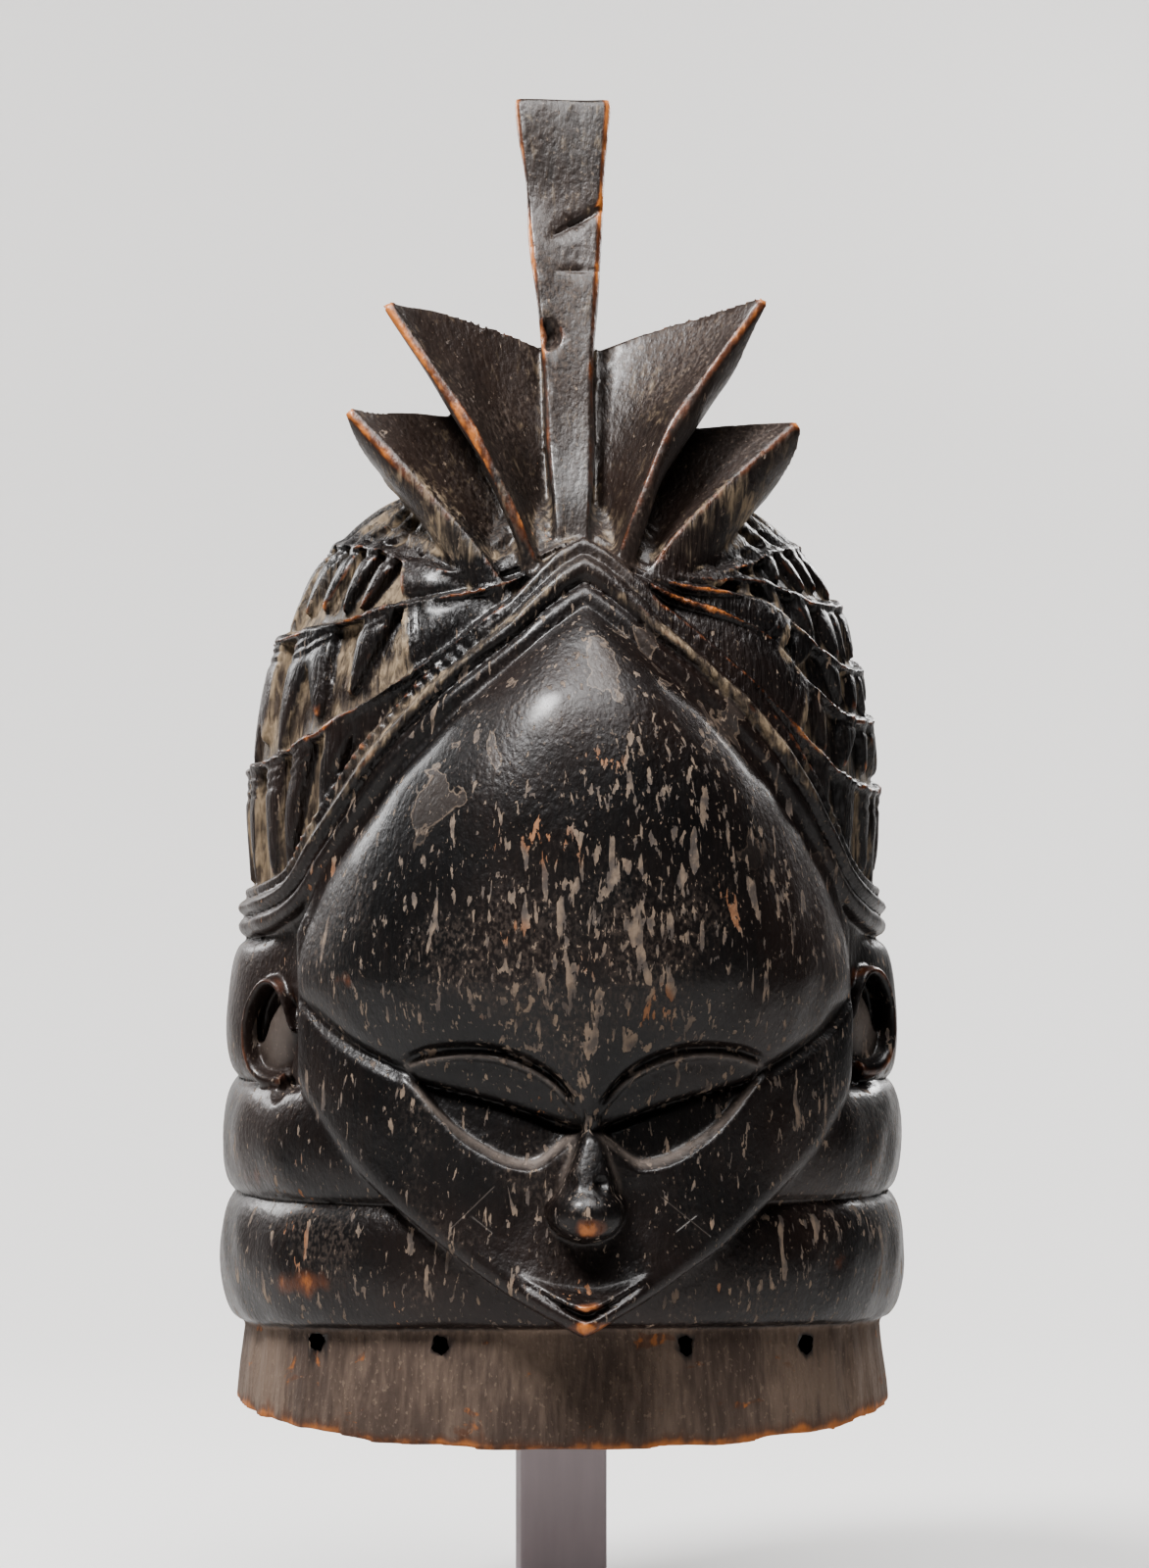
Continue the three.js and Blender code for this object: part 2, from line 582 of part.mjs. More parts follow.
// A tie hole at a place across the collar, on its front (-1) or its back (1).
function tieHole(x, z, side) {
  const y = side * (side < 0 ? COLLAR.front : COLLAR.back) * sectionShare(x, COLLAR.halfWidth);
  const box = new THREE.BoxGeometry(TIE_HOLE.width, TIE_HOLE.reach, TIE_HOLE.height);
  box.translate(x, y, z);
  return solid(box);
}

// The mask, joined and hollowed.
function mask(material) {
  const carved = wasm.Manifold.union([
    core(), face(), headband(), crownCap(), ear(-1), ear(1), blade(),
    ...LOCK_COUNTS.map((_, n) => hairTier(n)),
    ...WINGS.map(wing),
  ]);
  const holes = TIE_HOLES.flatMap(([x, z]) => [tieHole(x, z, -1), tieHole(x, TIE_HOLE.backHeight, 1)]);
  const hollow = carved.subtract(cavity());
  return meshOf(wasm.Manifold.difference([hollow, ...holes]), "mask", material);
}

// A square bar or plate with rounded upright edges.
function squareBar(side, corner, height, name, material) {
  const half = side / 2;
  const shape = new THREE.Shape();
  shape.moveTo(-half + corner, -half);
  shape.lineTo(half - corner, -half);
  shape.absarc(half - corner, -half + corner, corner, -Math.PI / 2, 0);
  shape.absarc(half - corner, half - corner, corner, 0, Math.PI / 2);
  shape.absarc(-half + corner, half - corner, corner, Math.PI / 2, Math.PI);
  shape.absarc(-half + corner, -half + corner, corner, Math.PI, 1.5 * Math.PI);
  const geometry = new THREE.ExtrudeGeometry(shape, { depth: height, bevelEnabled: false, curveSegments: 3 });
  return meshOf(solid(geometry), name, material);
}

const blackWood = new THREE.MeshStandardMaterial({ color: 0x1d1815, roughness: 0.38, metalness: 0 });
const greyPaint = new THREE.MeshStandardMaterial({ color: 0x8d8788, roughness: 0.7, metalness: 0 });

const maskGroup = new THREE.Group();
maskGroup.position.z = MASK_LIFT;
maskGroup.add(mask(blackWood));

const foot = squareBar(FOOT_SIDE, FOOT_CORNER, FOOT_THICKNESS, "display_foot", greyPaint);
const postLength = MASK_LIFT + CAVITY.ceiling - FOOT_THICKNESS - 2 * FIT_GAP;
const post = squareBar(POST_SIDE, POST_CORNER, postLength, "display_post", greyPaint);
post.position.z = FOOT_THICKNESS + FIT_GAP;

const displayedMask = new THREE.Group();
displayedMask.add(maskGroup, post, foot);

export default displayedMask;
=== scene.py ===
"""A carved wooden helmet mask on its display post: the looks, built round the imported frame.

The carving is worked out in millimetres in the mask's own frame: +X is the mask's own left, the face looks
along -Y, and heights count up from the lower rim at the sides. gather turns that into the scene's metres.
Round the head, 0 degrees is the front and 90 degrees is +X.
"""

import logging
import math
from collections.abc import Callable, Sequence
from dataclasses import dataclass, field
from enum import Enum

import bmesh
import bpy
import numpy as np
from mathutils import Matrix, Vector


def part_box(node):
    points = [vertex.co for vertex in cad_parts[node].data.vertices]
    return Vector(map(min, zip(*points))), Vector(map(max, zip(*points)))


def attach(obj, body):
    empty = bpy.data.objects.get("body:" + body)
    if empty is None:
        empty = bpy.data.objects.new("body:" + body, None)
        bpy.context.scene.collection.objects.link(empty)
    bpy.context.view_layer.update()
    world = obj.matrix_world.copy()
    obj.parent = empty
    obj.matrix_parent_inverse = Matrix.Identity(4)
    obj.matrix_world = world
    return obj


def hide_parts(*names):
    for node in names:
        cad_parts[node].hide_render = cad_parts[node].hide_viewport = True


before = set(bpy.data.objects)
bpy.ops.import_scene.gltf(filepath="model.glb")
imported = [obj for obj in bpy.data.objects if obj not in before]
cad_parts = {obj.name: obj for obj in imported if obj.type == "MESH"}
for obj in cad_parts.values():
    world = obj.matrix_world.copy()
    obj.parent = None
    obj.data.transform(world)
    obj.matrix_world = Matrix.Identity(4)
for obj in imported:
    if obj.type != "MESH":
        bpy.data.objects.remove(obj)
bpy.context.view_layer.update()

log = logging.getLogger("mask")

METRES = 0.001  # a millimetre in the scene's unit
MASK_LIFT = 100.0  # millimetres from the foot's underside to the mask's rim
SLIVER = 0.0001  # metres left free inside the solid mask's box

Array = np.ndarray
Number = Array | float
Place = Callable[[Array, Array], Array]
Pair = tuple[float, float]
Pairs = tuple[Pair, ...]
Spot = tuple[float, float, float]
Shell = bmesh.types.BMesh
Piece = bpy.types.Object
Socket = bpy.types.NodeSocket


# Curves and blends


def blend(a: Number, b: Number, share: Number) -> Array:
    """Go from a to b as share goes from 0 to 1."""
    return a + (b - a) * share


def smooth_step(value: Array, low: float, high: float) -> Array:
    """Rise smoothly from 0 at low to 1 at high."""
    share = np.clip((value - low) / (high - low), 0.0, 1.0)
    return share * share * (3.0 - 2.0 * share)


def bump(value: Array, middle: Number, width: Number) -> Array:
    """Give a round bump of height 1 in the middle, which ends a width away."""
    share = np.clip(1.0 - ((value - middle) / width) ** 2, 0.0, 1.0)
    return share * share


def jitter(index: Array, salt: float) -> Array:
    """Give numbers from -1 to 1 that look random, the same each time for an index and salt."""
    return 2.0 * np.modf(np.abs(np.sin(index * 12.9898 + salt * 78.233)) * 437.585)[0] - 1.0


def towards_front(angle: Array) -> Array:
    """Give 1 at the front of the head, falling to 0 at its back."""
    return ((1.0 + np.cos(angle)) / 2.0) ** 2


def window(value: Array, rise: Sequence[float], fall: Sequence[float]) -> Array:
    """Rise smoothly from 0 to 1 over one range and fall back to 0 over another."""
    return smooth_step(value, *rise) * (1.0 - smooth_step(value, *fall))


def arch(share: Array) -> Array:
    """Go from 0 up to 1 and back as a half circle while a share goes from 0 to 1."""
    return np.sqrt(np.clip(4.0 * share * (1.0 - share), 0.0, 1.0))


def dome(offset: Array) -> Array:
    """Give a half circle of height 1 over offsets from -1 to 1."""
    return np.sqrt(np.clip(1.0 - offset**2, 0.0, 1.0))


def unit(rows: Array) -> Array:
    """Scale each row to a length of 1."""
    return rows / np.linalg.norm(rows, axis=1, keepdims=True)


def travelled(points: Array) -> Array:
    """Give how far along a path each of its points is."""
    return np.cumsum(np.linalg.norm(np.diff(points, axis=0, prepend=points[:1]), axis=1))


@dataclass(frozen=True)
class Oval:
    """An oval seen from the front: its middle and its half sizes."""

    x: float
    z: float
    half_width: float
    half_height: float

    def apart(self, x: Array, z: Array) -> Array:
        """Give how far places are from the middle, as a share of the half sizes."""
        return np.hypot((x - self.x) / self.half_width, (z - self.z) / self.half_height)

    def share(self, points: Array) -> Array:
        """Give 1 at the middle, falling smoothly to 0 at the edge."""
        return bump(self.apart(points[:, 0], points[:, 2]), 0.0, 1.0)


@dataclass(frozen=True)
class Profile:
    """A smooth curve through points (x, y) sorted by x, level past both ends."""

    points: Pairs

    @classmethod
    def through(cls, xs: Array, ys: Array) -> "Profile":
        """Make a curve from the places and the heights of its points."""
        return cls(tuple(zip(xs, ys)))

    def __call__(self, at: Number) -> Array:
        """Read the curve.

        Args:
            at: The places along x.

        Returns:
            The curve's height at each place.
        """
        xs, ys = np.array(self.points).T
        slopes = np.empty(len(xs))
        slopes[1:-1] = (ys[2:] - ys[:-2]) / (xs[2:] - xs[:-2])
        slopes[0] = (ys[1] - ys[0]) / (xs[1] - xs[0])
        slopes[-1] = (ys[-1] - ys[-2]) / (xs[-1] - xs[-2])
        x = np.clip(np.asarray(at, float), xs[0], xs[-1])
        n = np.clip(np.searchsorted(xs, x, side="right") - 1, 0, len(xs) - 2)
        span = xs[n + 1] - xs[n]
        t = (x - xs[n]) / span
        rise = t * t * (3.0 - 2.0 * t)
        bend = slopes[n] * t * (1.0 - t) ** 2 - slopes[n + 1] * t * t * (1.0 - t)
        return blend(ys[n], ys[n + 1], rise) + span * bend


def follow(points: Sequence[Sequence[float]], share: Array) -> Array:
    """Read a smooth line through points at shares of its length, one point a row."""
    places = np.array(points, float)
    lengths = travelled(places)
    lengths /= lengths[-1]
    return np.stack([Profile.through(lengths, axis)(share) for axis in places.T], axis=-1)


def hand_unevenness(points: Array, waves: Sequence[float], seed: int) -> Array:
    """Sum slow sine waves in random directions, as the unevenness that a hand-held adze leaves.

    Args:
        points: Places in millimetres, one a row.
        waves: Wavelengths in millimetres, three waves of each.
        seed: Seed of the directions and phases.

    Returns:
        One number a point, mostly between -1 and 1.
    """
    rng = np.random.default_rng(seed)
    total = np.zeros(len(points))
    waves_of_each = 3
    for wave in waves:
        for _ in range(waves_of_each):
            way = rng.normal(size=3)
            way *= 2.0 * math.pi / (wave * np.linalg.norm(way))
            total += np.sin(points @ way + rng.uniform(0.0, 2.0 * math.pi))
    return total / (1.5 * len(waves) ** 0.5)


def lean_over(points: Array, lean: Profile) -> Array:
    """Shift points sideways by their height, as the carving leans."""
    moved = points.copy()
    moved[:, 0] += lean(points[:, 2])
    return moved


HEAD_LEAN = Profile(((185, 0.0), (258, 1.2)))
FACE_LEAN = Profile(((31, -2.0), (68, -0.8), (100, 0.0), (185, 0.0), (258, 1.2)))


# Mesh tools


def sheet(columns: int, rows: int, place: Place) -> Shell:
    """Start from bmesh's grid and move its points.

    Args:
        columns: Faces along u.
        rows: Faces along v.
        place: Gives the points in millimetres for u and v from 0 to 1.

    Returns:
        The new bmesh.
    """
    mesh = bmesh.new()
    bmesh.ops.create_grid(mesh, x_segments=columns, y_segments=rows, size=0.5)
    spots = np.array([vertex.co for vertex in mesh.verts])
    for vertex, point in zip(mesh.verts, place(spots[:, 0] + 0.5, spots[:, 1] + 0.5)):
        vertex.co = point
    return mesh


def close_up(mesh: Shell, weld: float = 0.02) -> Shell:
    """Weld a sheet's meeting edges, fill what stays open, and point its faces out."""
    bmesh.ops.remove_doubles(mesh, verts=mesh.verts[:], dist=weld)
    open_edges = [edge for edge in mesh.edges if edge.is_boundary]
    bmesh.ops.holes_fill(mesh, edges=open_edges, sides=0)
    bmesh.ops.recalc_face_normals(mesh, faces=mesh.faces[:])
    return mesh


def loft(sections: Array, rows: int) -> Shell:
    """Skin closed sections into one closed shell.

    Args:
        sections: Points in millimetres, by section, point and axis.
        rows: Faces along the path.

    Returns:
        The new bmesh.
    """
    rings = np.concatenate([sections, sections[:, :1]], axis=1)

    def place(u: Array, v: Array) -> Array:
        """Read the sections, straight between neighbours."""
        i, du = split(u * (rings.shape[1] - 1), rings.shape[1] - 2)
        j, dv = split(v * (rings.shape[0] - 1), rings.shape[0] - 2)
        low = blend(rings[j, i], rings[j, i + 1], du)
        high = blend(rings[j + 1, i], rings[j + 1, i + 1], du)
        return blend(low, high, dv)

    return close_up(sheet(rings.shape[1] - 1, rows, place))


def split(value: Array, last: int) -> tuple[Array, Array]:
    """Split numbers into whole steps, no further than the last, and the rest as a column."""
    whole = np.clip(np.floor(value + 1e-6).astype(int), 0, last)
    return whole, (value - whole)[:, None]


def gather(name: str, parts: Sequence[Shell]) -> Piece:
    """Put shells in one mesh object, in the scene's metres, and free them."""
    whole = bmesh.new()
    for part in parts:
        mesh = bpy.data.meshes.new(name)
        part.to_mesh(mesh)
        part.free()
        whole.from_mesh(mesh)
        bpy.data.meshes.remove(mesh)
    scale = Matrix.Scale(METRES, 4) @ Matrix.Translation((0, 0, MASK_LIFT))
    bmesh.ops.transform(whole, matrix=scale, verts=whole.verts[:])
    mesh = bpy.data.meshes.new(name)
    whole.to_mesh(mesh)
    whole.free()
    return linked(name, mesh)


def in_mask(places: Array) -> Array:
    """Turn places in the scene's metres into millimetres in the mask's frame."""
    return places / METRES - np.array([0.0, 0.0, MASK_LIFT])


def linked(name: str, mesh: bpy.types.Mesh) -> Piece:
    """Make an object for a mesh and link it to the scene."""
    piece = bpy.data.objects.new(name, mesh)
    bpy.context.scene.collection.objects.link(piece)
    return piece


def bake_modifiers(piece: Piece) -> None:
    """Apply a piece's modifiers to its mesh."""
    bpy.context.view_layer.update()
    graph = bpy.context.evaluated_depsgraph_get()
    old = piece.data
    piece.data = bpy.data.meshes.new_from_object(piece.evaluated_get(graph))
    piece.modifiers.clear()
    bpy.data.meshes.remove(old)


def corners_of(mesh: bpy.types.Mesh, what: str = "co") -> Array:
    """Read a mesh's vertex places or normals, one a row, in the scene's metres."""
    flat = np.empty(len(mesh.vertices) * 3)
    if what == "co":
        mesh.vertices.foreach_get("co", flat)
    else:
        mesh.vertex_normals.foreach_get("vector", flat)
    return flat.reshape(-1, 3)


def put_attribute(mesh: bpy.types.Mesh, name: str, values: Array) -> None:
    """Store one number a vertex under a name that materials can read."""
    layer = mesh.attributes.new(name, "FLOAT", "POINT")
    layer.data.foreach_set("value", np.ascontiguousarray(values, np.float32))


# The carving


@dataclass(frozen=True)
class HeadForm:
    """The head's dome and the upright wall under it, as superelliptic sections."""

    half_width: float = 107.5
    front: float = 101.0
    back: float = 122.0
    power: float = 2.2
    dome_start: float = 178.0
    dome_rise: float = 133.0
    height_power: float = 2.7
    radius_power: float = 2.5

    def share(self, z: Array, grow: Number = 0.0) -> Array:
        """Give the share of the dome's radius that is left at a height."""
        rise = np.clip((z - self.dome_start) / (self.dome_rise + grow), 0.0, 1.0)
        return (1.0 - rise**self.height_power) ** (1.0 / self.radius_power)

    def section(self, angle: Array, half_width: Number, front: Number, back: Number, z: Number) -> Array:
        """Give points on horizontal sections of the head, one a row."""
        side, ahead = np.sin(angle), np.cos(angle)
        reach = np.where(ahead > 0.0, front, back)
        across = np.sign(side) * np.abs(side) ** (2.0 / self.power)
        along = np.sign(ahead) * np.abs(ahead) ** (2.0 / self.power)
        return np.stack([half_width * across, -reach * along, z + 0.0 * across], axis=-1)

    def point(self, angle: Array, z: Array, grow: Number = 0.0) -> Array:
        """Give points on the dome or wall, grown outwards by a distance."""
        share = self.share(z, grow)
        return self.section(
            angle,
            (self.half_width + grow) * share,
            (self.front + grow) * share,
            (self.back + grow) * share,
            z,
        )

    def front_share(self, x: Array, half_width: Number) -> Array:
        """Give how far a section reaches forward at x, as a share of its reach in the middle."""
        across = np.clip(np.abs(x) / half_width, 0.0, 0.999)
        return (1.0 - across**self.power) ** (1.0 / self.power)


@dataclass(frozen=True)
class Crease:
    """A crease round the neck: its height, how it rises at the front, and its section."""

    height: float
    front_rise: float
    half_width: float
    front: float
    back: float

    def level(self, angle: Array) -> Array:
        """Give the crease's height round the neck."""
        return self.height + self.front_rise * towards_front(angle)


@dataclass(frozen=True)
class Neck:
    """The plain collar and three rolls of flesh between creases."""

    rim: Crease = Crease(0.0, -6.0, 110.0, 107.0, 117.0)
    creases: tuple[Crease, ...] = (
        Crease(22.0, 10.0, 107.5, 104.0, 115.0),
        Crease(67.0, 3.0, 107.5, 103.0, 115.0),
        Crease(107.0, -4.0, 106.5, 101.0, 114.0),
        Crease(153.0, 0.0, 103.5, 98.0, 116.0),
    )
    bulges: tuple[float, ...] = (8.0, 8.0, 8.5)
    bulge_power: float = 0.72
    nape_starts: Pair = (60.0, 80.0)
    rim_bites: float = 1.1
    bite_counts: Pair = (23.0, 57.0)
    facets: float = 0.3
    facet_count: float = 41.0

    def rim_line(self, angle: Array) -> Array:
        """Give the height of the bitten lower edge."""
        coarse, fine = self.bite_counts
        bites = np.sin(coarse * angle + 1.7 * np.sin(5.0 * angle)) + np.sin(fine * angle + 2.0) * 0.6
        return self.rim.level(angle) + self.rim_bites * (bites / 3.2 + 0.5)

    def surface(self, form: HeadForm, angle: Array, z: Array) -> Array:
        """Give points of the neck.

        Args:
            form: The head's sections.
            angle: Angles round the head, in radians.
            z: Nominal heights.

        Returns:
            The points, one a row.
        """
        turned = np.degrees(np.abs(np.arctan2(np.sin(angle), np.cos(angle))))
        rings = (self.rim, *self.creases)
        sizes = np.zeros((3, len(z)))
        for n, (low, high) in enumerate(zip(rings, rings[1:])):
            start, end = low.level(angle), high.level(angle)
            share = np.clip((z - start) / (end - start), 0.0, 1.0)
            inside = (z >= start) if n else np.ones(len(z), bool)
            out = self.facets * np.sin(self.facet_count * angle + 2.0 * np.sin(6.0 * angle))
            if n:
                out = self.bulges[n - 1] * arch(share) ** self.bulge_power
            if n == len(self.bulges):
                out = out * smooth_step(turned, *self.nape_starts)
            for axis, name in enumerate(("half_width", "front", "back")):
                size = blend(getattr(low, name), getattr(high, name), share) + out
                sizes[axis] = np.where(inside, size, sizes[axis])
        return form.section(angle, *sizes, z)


@dataclass(frozen=True)
class HairTier:
    """One tier of hair: pointed locks that hang from a cord, over sunken ground.

    The locks start behind a long front lobe, which ends at lobe_end degrees, or is left out where that is 0.
    depth is the share of the full relief that is left behind the temple.
    """

    low: Profile
    high: Profile
    lobe_end: float
    first_lock: float
    pitch: float
    salt: float
    depth: float = 1.0

    def locks(self, degrees: Array, t: Array, tall: Array, hair: "Hair") -> tuple[Array, Array]:
        """Work out the pointed locks.

        Args:
            degrees: Degrees from the front, positive on the mask's left.
            t: Shares of the tier's height.
            tall: The tier's height.
            hair: The sizes that all tiers share.

        Returns:
            How far a point is in a lock, from 0 to 1, and how far that lock stands out.
        """
        turned = np.abs(degrees)
        index = np.maximum(np.round((turned - self.first_lock) / self.pitch), 0.0)
        lock = index + hair.locks_a_side * (degrees > 0.0)
        wild = 1.0 - smooth_step(turned, *hair.wild_end)

        def vary(amount: float, salt: float) -> Array:
            """Give each lock its own share of an amount, which dies away towards the back."""
            return amount * wild * jitter(lock, self.salt + salt)

        middle = self.first_lock + (index + vary(hair.strays, 0.0)) * self.pitch
        middle = middle + vary(hair.lean, 1.0) * (t - 0.5) * self.pitch
        offset = (turned - middle) * hair.per_degree
        late = hair.late_point * wild * (jitter(lock, self.salt + 5.0) > 0.5)
        point = hair.point_height * (1.0 + vary(1.0, 2.0)) + late
        grown = np.clip((t - point) / (1.0 - point), 0.0, 1.0)
        half_top = 0.5 * self.pitch * hair.per_degree * (hair.lock_share + vary(hair.lock_vary, 3.0))
        half = blend(hair.point_width, half_top, grown**0.5)
        locked = smooth_step(half - np.abs(offset), 0.0, hair.edge) * smooth_step(t - point, -0.02, 0.03)
        surface = blend(hair.point_grow, hair.cord_grow, grown**0.8)
        surface = surface + hair.lock_round * (dome(offset / half) - 0.8)
        loops = hair.loop_depth * np.cos(2.0 * math.pi * t * tall / hair.loop_pitch)
        looped = (loops - hair.loop_depth) * smooth_step(grown, *hair.loops_start)
        return locked, surface + looped * (1.0 - smooth_step(grown, *hair.loops_end))

    def lobe(self, turned: Array, t: Array, hair: "Hair") -> tuple[Array, Array]:
        """Work out the long front lobe, with lines along its end.

        Args:
            turned: Degrees from the front, to either side.
            t: Shares of the tier's height.
            hair: The sizes that all tiers share.

        Returns:
            How far a point is in the lobe, from 0 to 1, and how far the lobe stands out.
        """
        end = self.lobe_end + hair.lobe_slant * t - hair.lobe_slant / 2.0
        from_end = (end - turned) * hair.per_degree
        opened = smooth_step(turned, hair.lobe_start, self.lobe_end)
        rise = hair.lobe_swell * arch(t) - hair.lobe_low
        surface = hair.lobe_low + rise * opened - hair.lobe_sink * opened
        lined = window(from_end, *hair.lobe_lines)
        surface += hair.loop_depth * (np.cos(2.0 * math.pi * from_end / hair.loop_pitch) - 1.0) * lined
        return smooth_step(from_end, 0.0, hair.edge), surface

    def relief(self, degrees: Array, z: Array, hair: "Hair") -> tuple[Array, Array]:
        """Work out the tier's relief.

        Args:
            degrees: Degrees from the front, positive on the mask's left.
            z: Heights.
            hair: The sizes that all tiers share.

        Returns:
            How far the surface stands out, and whether a point is in the tier.
        """
        turned = np.abs(degrees)
        low, high = self.low(turned), self.high(turned)
        tall = np.maximum(high - low, 1.0)
        t = (z - low) / tall
        inside = (t >= 0.0) & (t <= 1.0)
        t = np.clip(t, 0.0, 1.0)
        locked, surface = self.locks(degrees, t, tall, hair)
        ground = hair.ground - hair.ground_fall * smooth_step(t, 0.0, 0.9)
        if self.lobe_end > 0.0:
            locked = np.where(turned < self.first_lock - 0.5 * self.pitch, 0.0, locked)
            share, plain = self.lobe(turned, t, hair)
        else:
            share = smooth_step(self.first_lock - 0.55 * self.pitch - turned, 0.0, 1.0)
            plain = blend(hair.ditch, hair.cord_grow - 1.0, t**1.4)
        out = blend(blend(ground, surface, locked), plain, share)
        cord = bump(z, high - hair.cord_width, hair.cord_width)
        out = np.maximum(out, blend(hair.ground, hair.cord_grow + hair.cord_rise, cord))
        return out * blend(1.0, self.depth, smooth_step(turned, *hair.depth_fade)), inside


@dataclass(frozen=True)
class Hair:
    """The hair over the dome: tiers of locks on each side, and the strands over the crown."""

    radius: float = 108.0
    band_width: float = 9.0
    ground: float = -4.6
    ground_fall: float = 2.8
    ditch: float = -5.8
    deepest: float = -8.0
    point_grow: float = -2.2
    point_height: float = 0.09
    point_width: float = 0.7
    late_point: float = 0.16
    cord_grow: float = 0.2
    cord_rise: float = 1.0
    cord_width: float = 1.7
    lock_share: float = 0.86
    lock_vary: float = 0.16
    lock_round: float = 2.3
    locks_a_side: float = 50.0
    loop_depth: float = 0.6
    loop_pitch: float = 3.2
    loops_start: Pair = (0.66, 0.74)
    loops_end: Pair = (0.93, 0.97)
    strays: float = 0.17
    edge: float = 1.1
    lean: float = 0.55
    wild_end: Pair = (155.0, 172.0)
    depth_fade: Pair = (30.0, 50.0)
    lobe_low: float = -4.4
    lobe_swell: float = 3.2
    lobe_sink: float = 1.6
    lobe_start: float = 6.0
    lobe_slant: float = 4.0
    lobe_lines: Pairs = ((1.0, 2.0), (9.0, 10.0))
    mound: float = -1.0
    mound_ends: Pair = (12.0, 24.0)
    mound_climb: Pair = (-14.0, -6.0)
    crown_strands: int = 38
    crown_slant: float = 0.16
    crown_depth: float = 3.4
    crown_wild_end: Pair = (120.0, 165.0)
    leaf_middle: Pair = (30.0, 5.5)
    leaf_half: Pair = (13.0, 5.2)
    leaf_round: float = 2.4
    band: Profile = Profile(
        (
            (0, 259), (5, 253), (10, 245.5), (19, 233), (28, 218), (36, 202.5), (45, 184.5),
            (52, 171), (60, 162.5), (72, 158), (90, 156.5), (180, 155.5),
        )
    )  # fmt: skip
    cord_low: Profile = Profile(((0, 276), (14, 259), (30, 239), (52, 220), (75, 211), (180, 208)))
    cord_middle: Profile = Profile(((0, 281), (14, 267.5), (36, 261), (60, 254.5), (90, 253), (180, 252)))
    cord_high: Profile = Profile(((0, 283), (17, 271), (36, 275), (50, 281), (90, 286), (180, 287)))
    left_cords: tuple[Profile, ...] = (
        Profile(((0, 276), (14, 259), (30, 236), (45, 215), (58, 205), (75, 203), (110, 207), (180, 208))),
        Profile(((0, 279), (14, 265), (34, 253), (47, 235), (60, 226), (80, 227), (140, 244), (180, 251))),
        Profile(((0, 281), (14, 269), (38, 262), (50, 249), (62, 243), (85, 245), (140, 268), (180, 274))),
        Profile(((0, 282), (17, 270.5), (38, 270), (55, 264), (90, 267), (140, 280), (180, 285))),
    )
    parting: Pair = (177.0, 179.4)
    temple_end: float = 48.5
    left_lobe_ends: tuple[float, ...] = (0.0, 44.0, 42.0, 29.0, 16.0)
    left_lobe_gap: float = 4.5
    left_first_lock: float = 22.0
    left_pitch: float = 8.4
    left_depth: float = 0.72

    @property
    def per_degree(self) -> float:
        """Give the millimetres round the head to a degree."""
        return math.radians(1.0) * self.radius

    def tiers(self, side: int) -> tuple[HairTier, ...]:
        """Give one side's tiers, the lowest first: three broad ones on the right, five on the left."""
        above_band = Profile(tuple((x, y + self.band_width) for x, y in self.band.points))
        if side < 0:
            return (
                HairTier(above_band, self.cord_low, 0.0, self.temple_end, pitch=9.6, salt=3.0),
                HairTier(self.cord_low, self.cord_middle, 34.0, 41.5, pitch=12.6, salt=13.0),
                HairTier(self.cord_middle, self.cord_high, 38.0, 45.0, pitch=9.0, salt=23.0),
            )
        cords = (above_band, *self.left_cords, self.cord_high)
        tiers = []
        for number, end in enumerate(self.left_lobe_ends):
            first = max(end + self.left_lobe_gap, self.left_first_lock) if end else self.temple_end
            salt = 33.0 + 10.0 * number
            low, high = cords[number : number + 2]
            tiers.append(HairTier(low, high, end, first, self.left_pitch, salt, self.left_depth))
        return tuple(tiers)

    def crown(self, degrees: Array, above: Array) -> Array:
        """Give the relief over the highest cord: fine strands, and a leaf at each side of the crest.

        Args:
            degrees: Degrees from the front, positive on the mask's left.
            above: Heights over the cord.

        Returns:
            How far the surface stands out.
        """
        turned = np.abs(degrees)
        slant = np.radians(turned) * self.crown_strands / 2.0 + above * self.crown_slant
        wild = degrees * 0.13 * (1.0 - smooth_step(turned, *self.crown_wild_end))
        waves = np.abs(np.sin(slant + 0.5 * np.sin(0.35 * above + wild)))
        strands = blend(-self.crown_depth, 0.0, waves**0.7)
        reach = dome((turned - self.leaf_middle[0]) / self.leaf_half[0])
        half = np.maximum(self.leaf_half[1] * reach, 0.3)
        leaf = np.clip(1.0 - ((above - self.leaf_middle[1]) / half) ** 2, 0.0, 1.0)
        leaf_out = -self.leaf_round + self.leaf_round * np.sqrt(leaf)
        return blend(strands, leaf_out, smooth_step(leaf, 0.0, 0.08))

    def relief(self, degrees: Array, z: Array) -> Array:
        """Work out how far the hair stands out.

        Args:
            degrees: Degrees from the front, positive on the mask's left.
            z: Heights.

        Returns:
            The distance over the plain dome.
        """
        turned = np.abs(degrees)
        out = np.full(len(z), self.ground)
        for side in (-1, 1):
            for tier in self.tiers(side):
                surface, inside = tier.relief(degrees, z, self)
                out = np.where(inside & (degrees * side > 0.0), surface, out)
        out = blend(out, self.ground, smooth_step(turned, *self.parting))
        edge = self.cord_high(turned)
        out = np.where(z > edge, self.crown(degrees, z - edge), out)
        start, end = self.mound_climb
        under_crest = (1.0 - smooth_step(turned, *self.mound_ends)) * smooth_step(z, edge + start, edge + end)
        return np.maximum(out, blend(self.deepest, self.mound, under_crest))


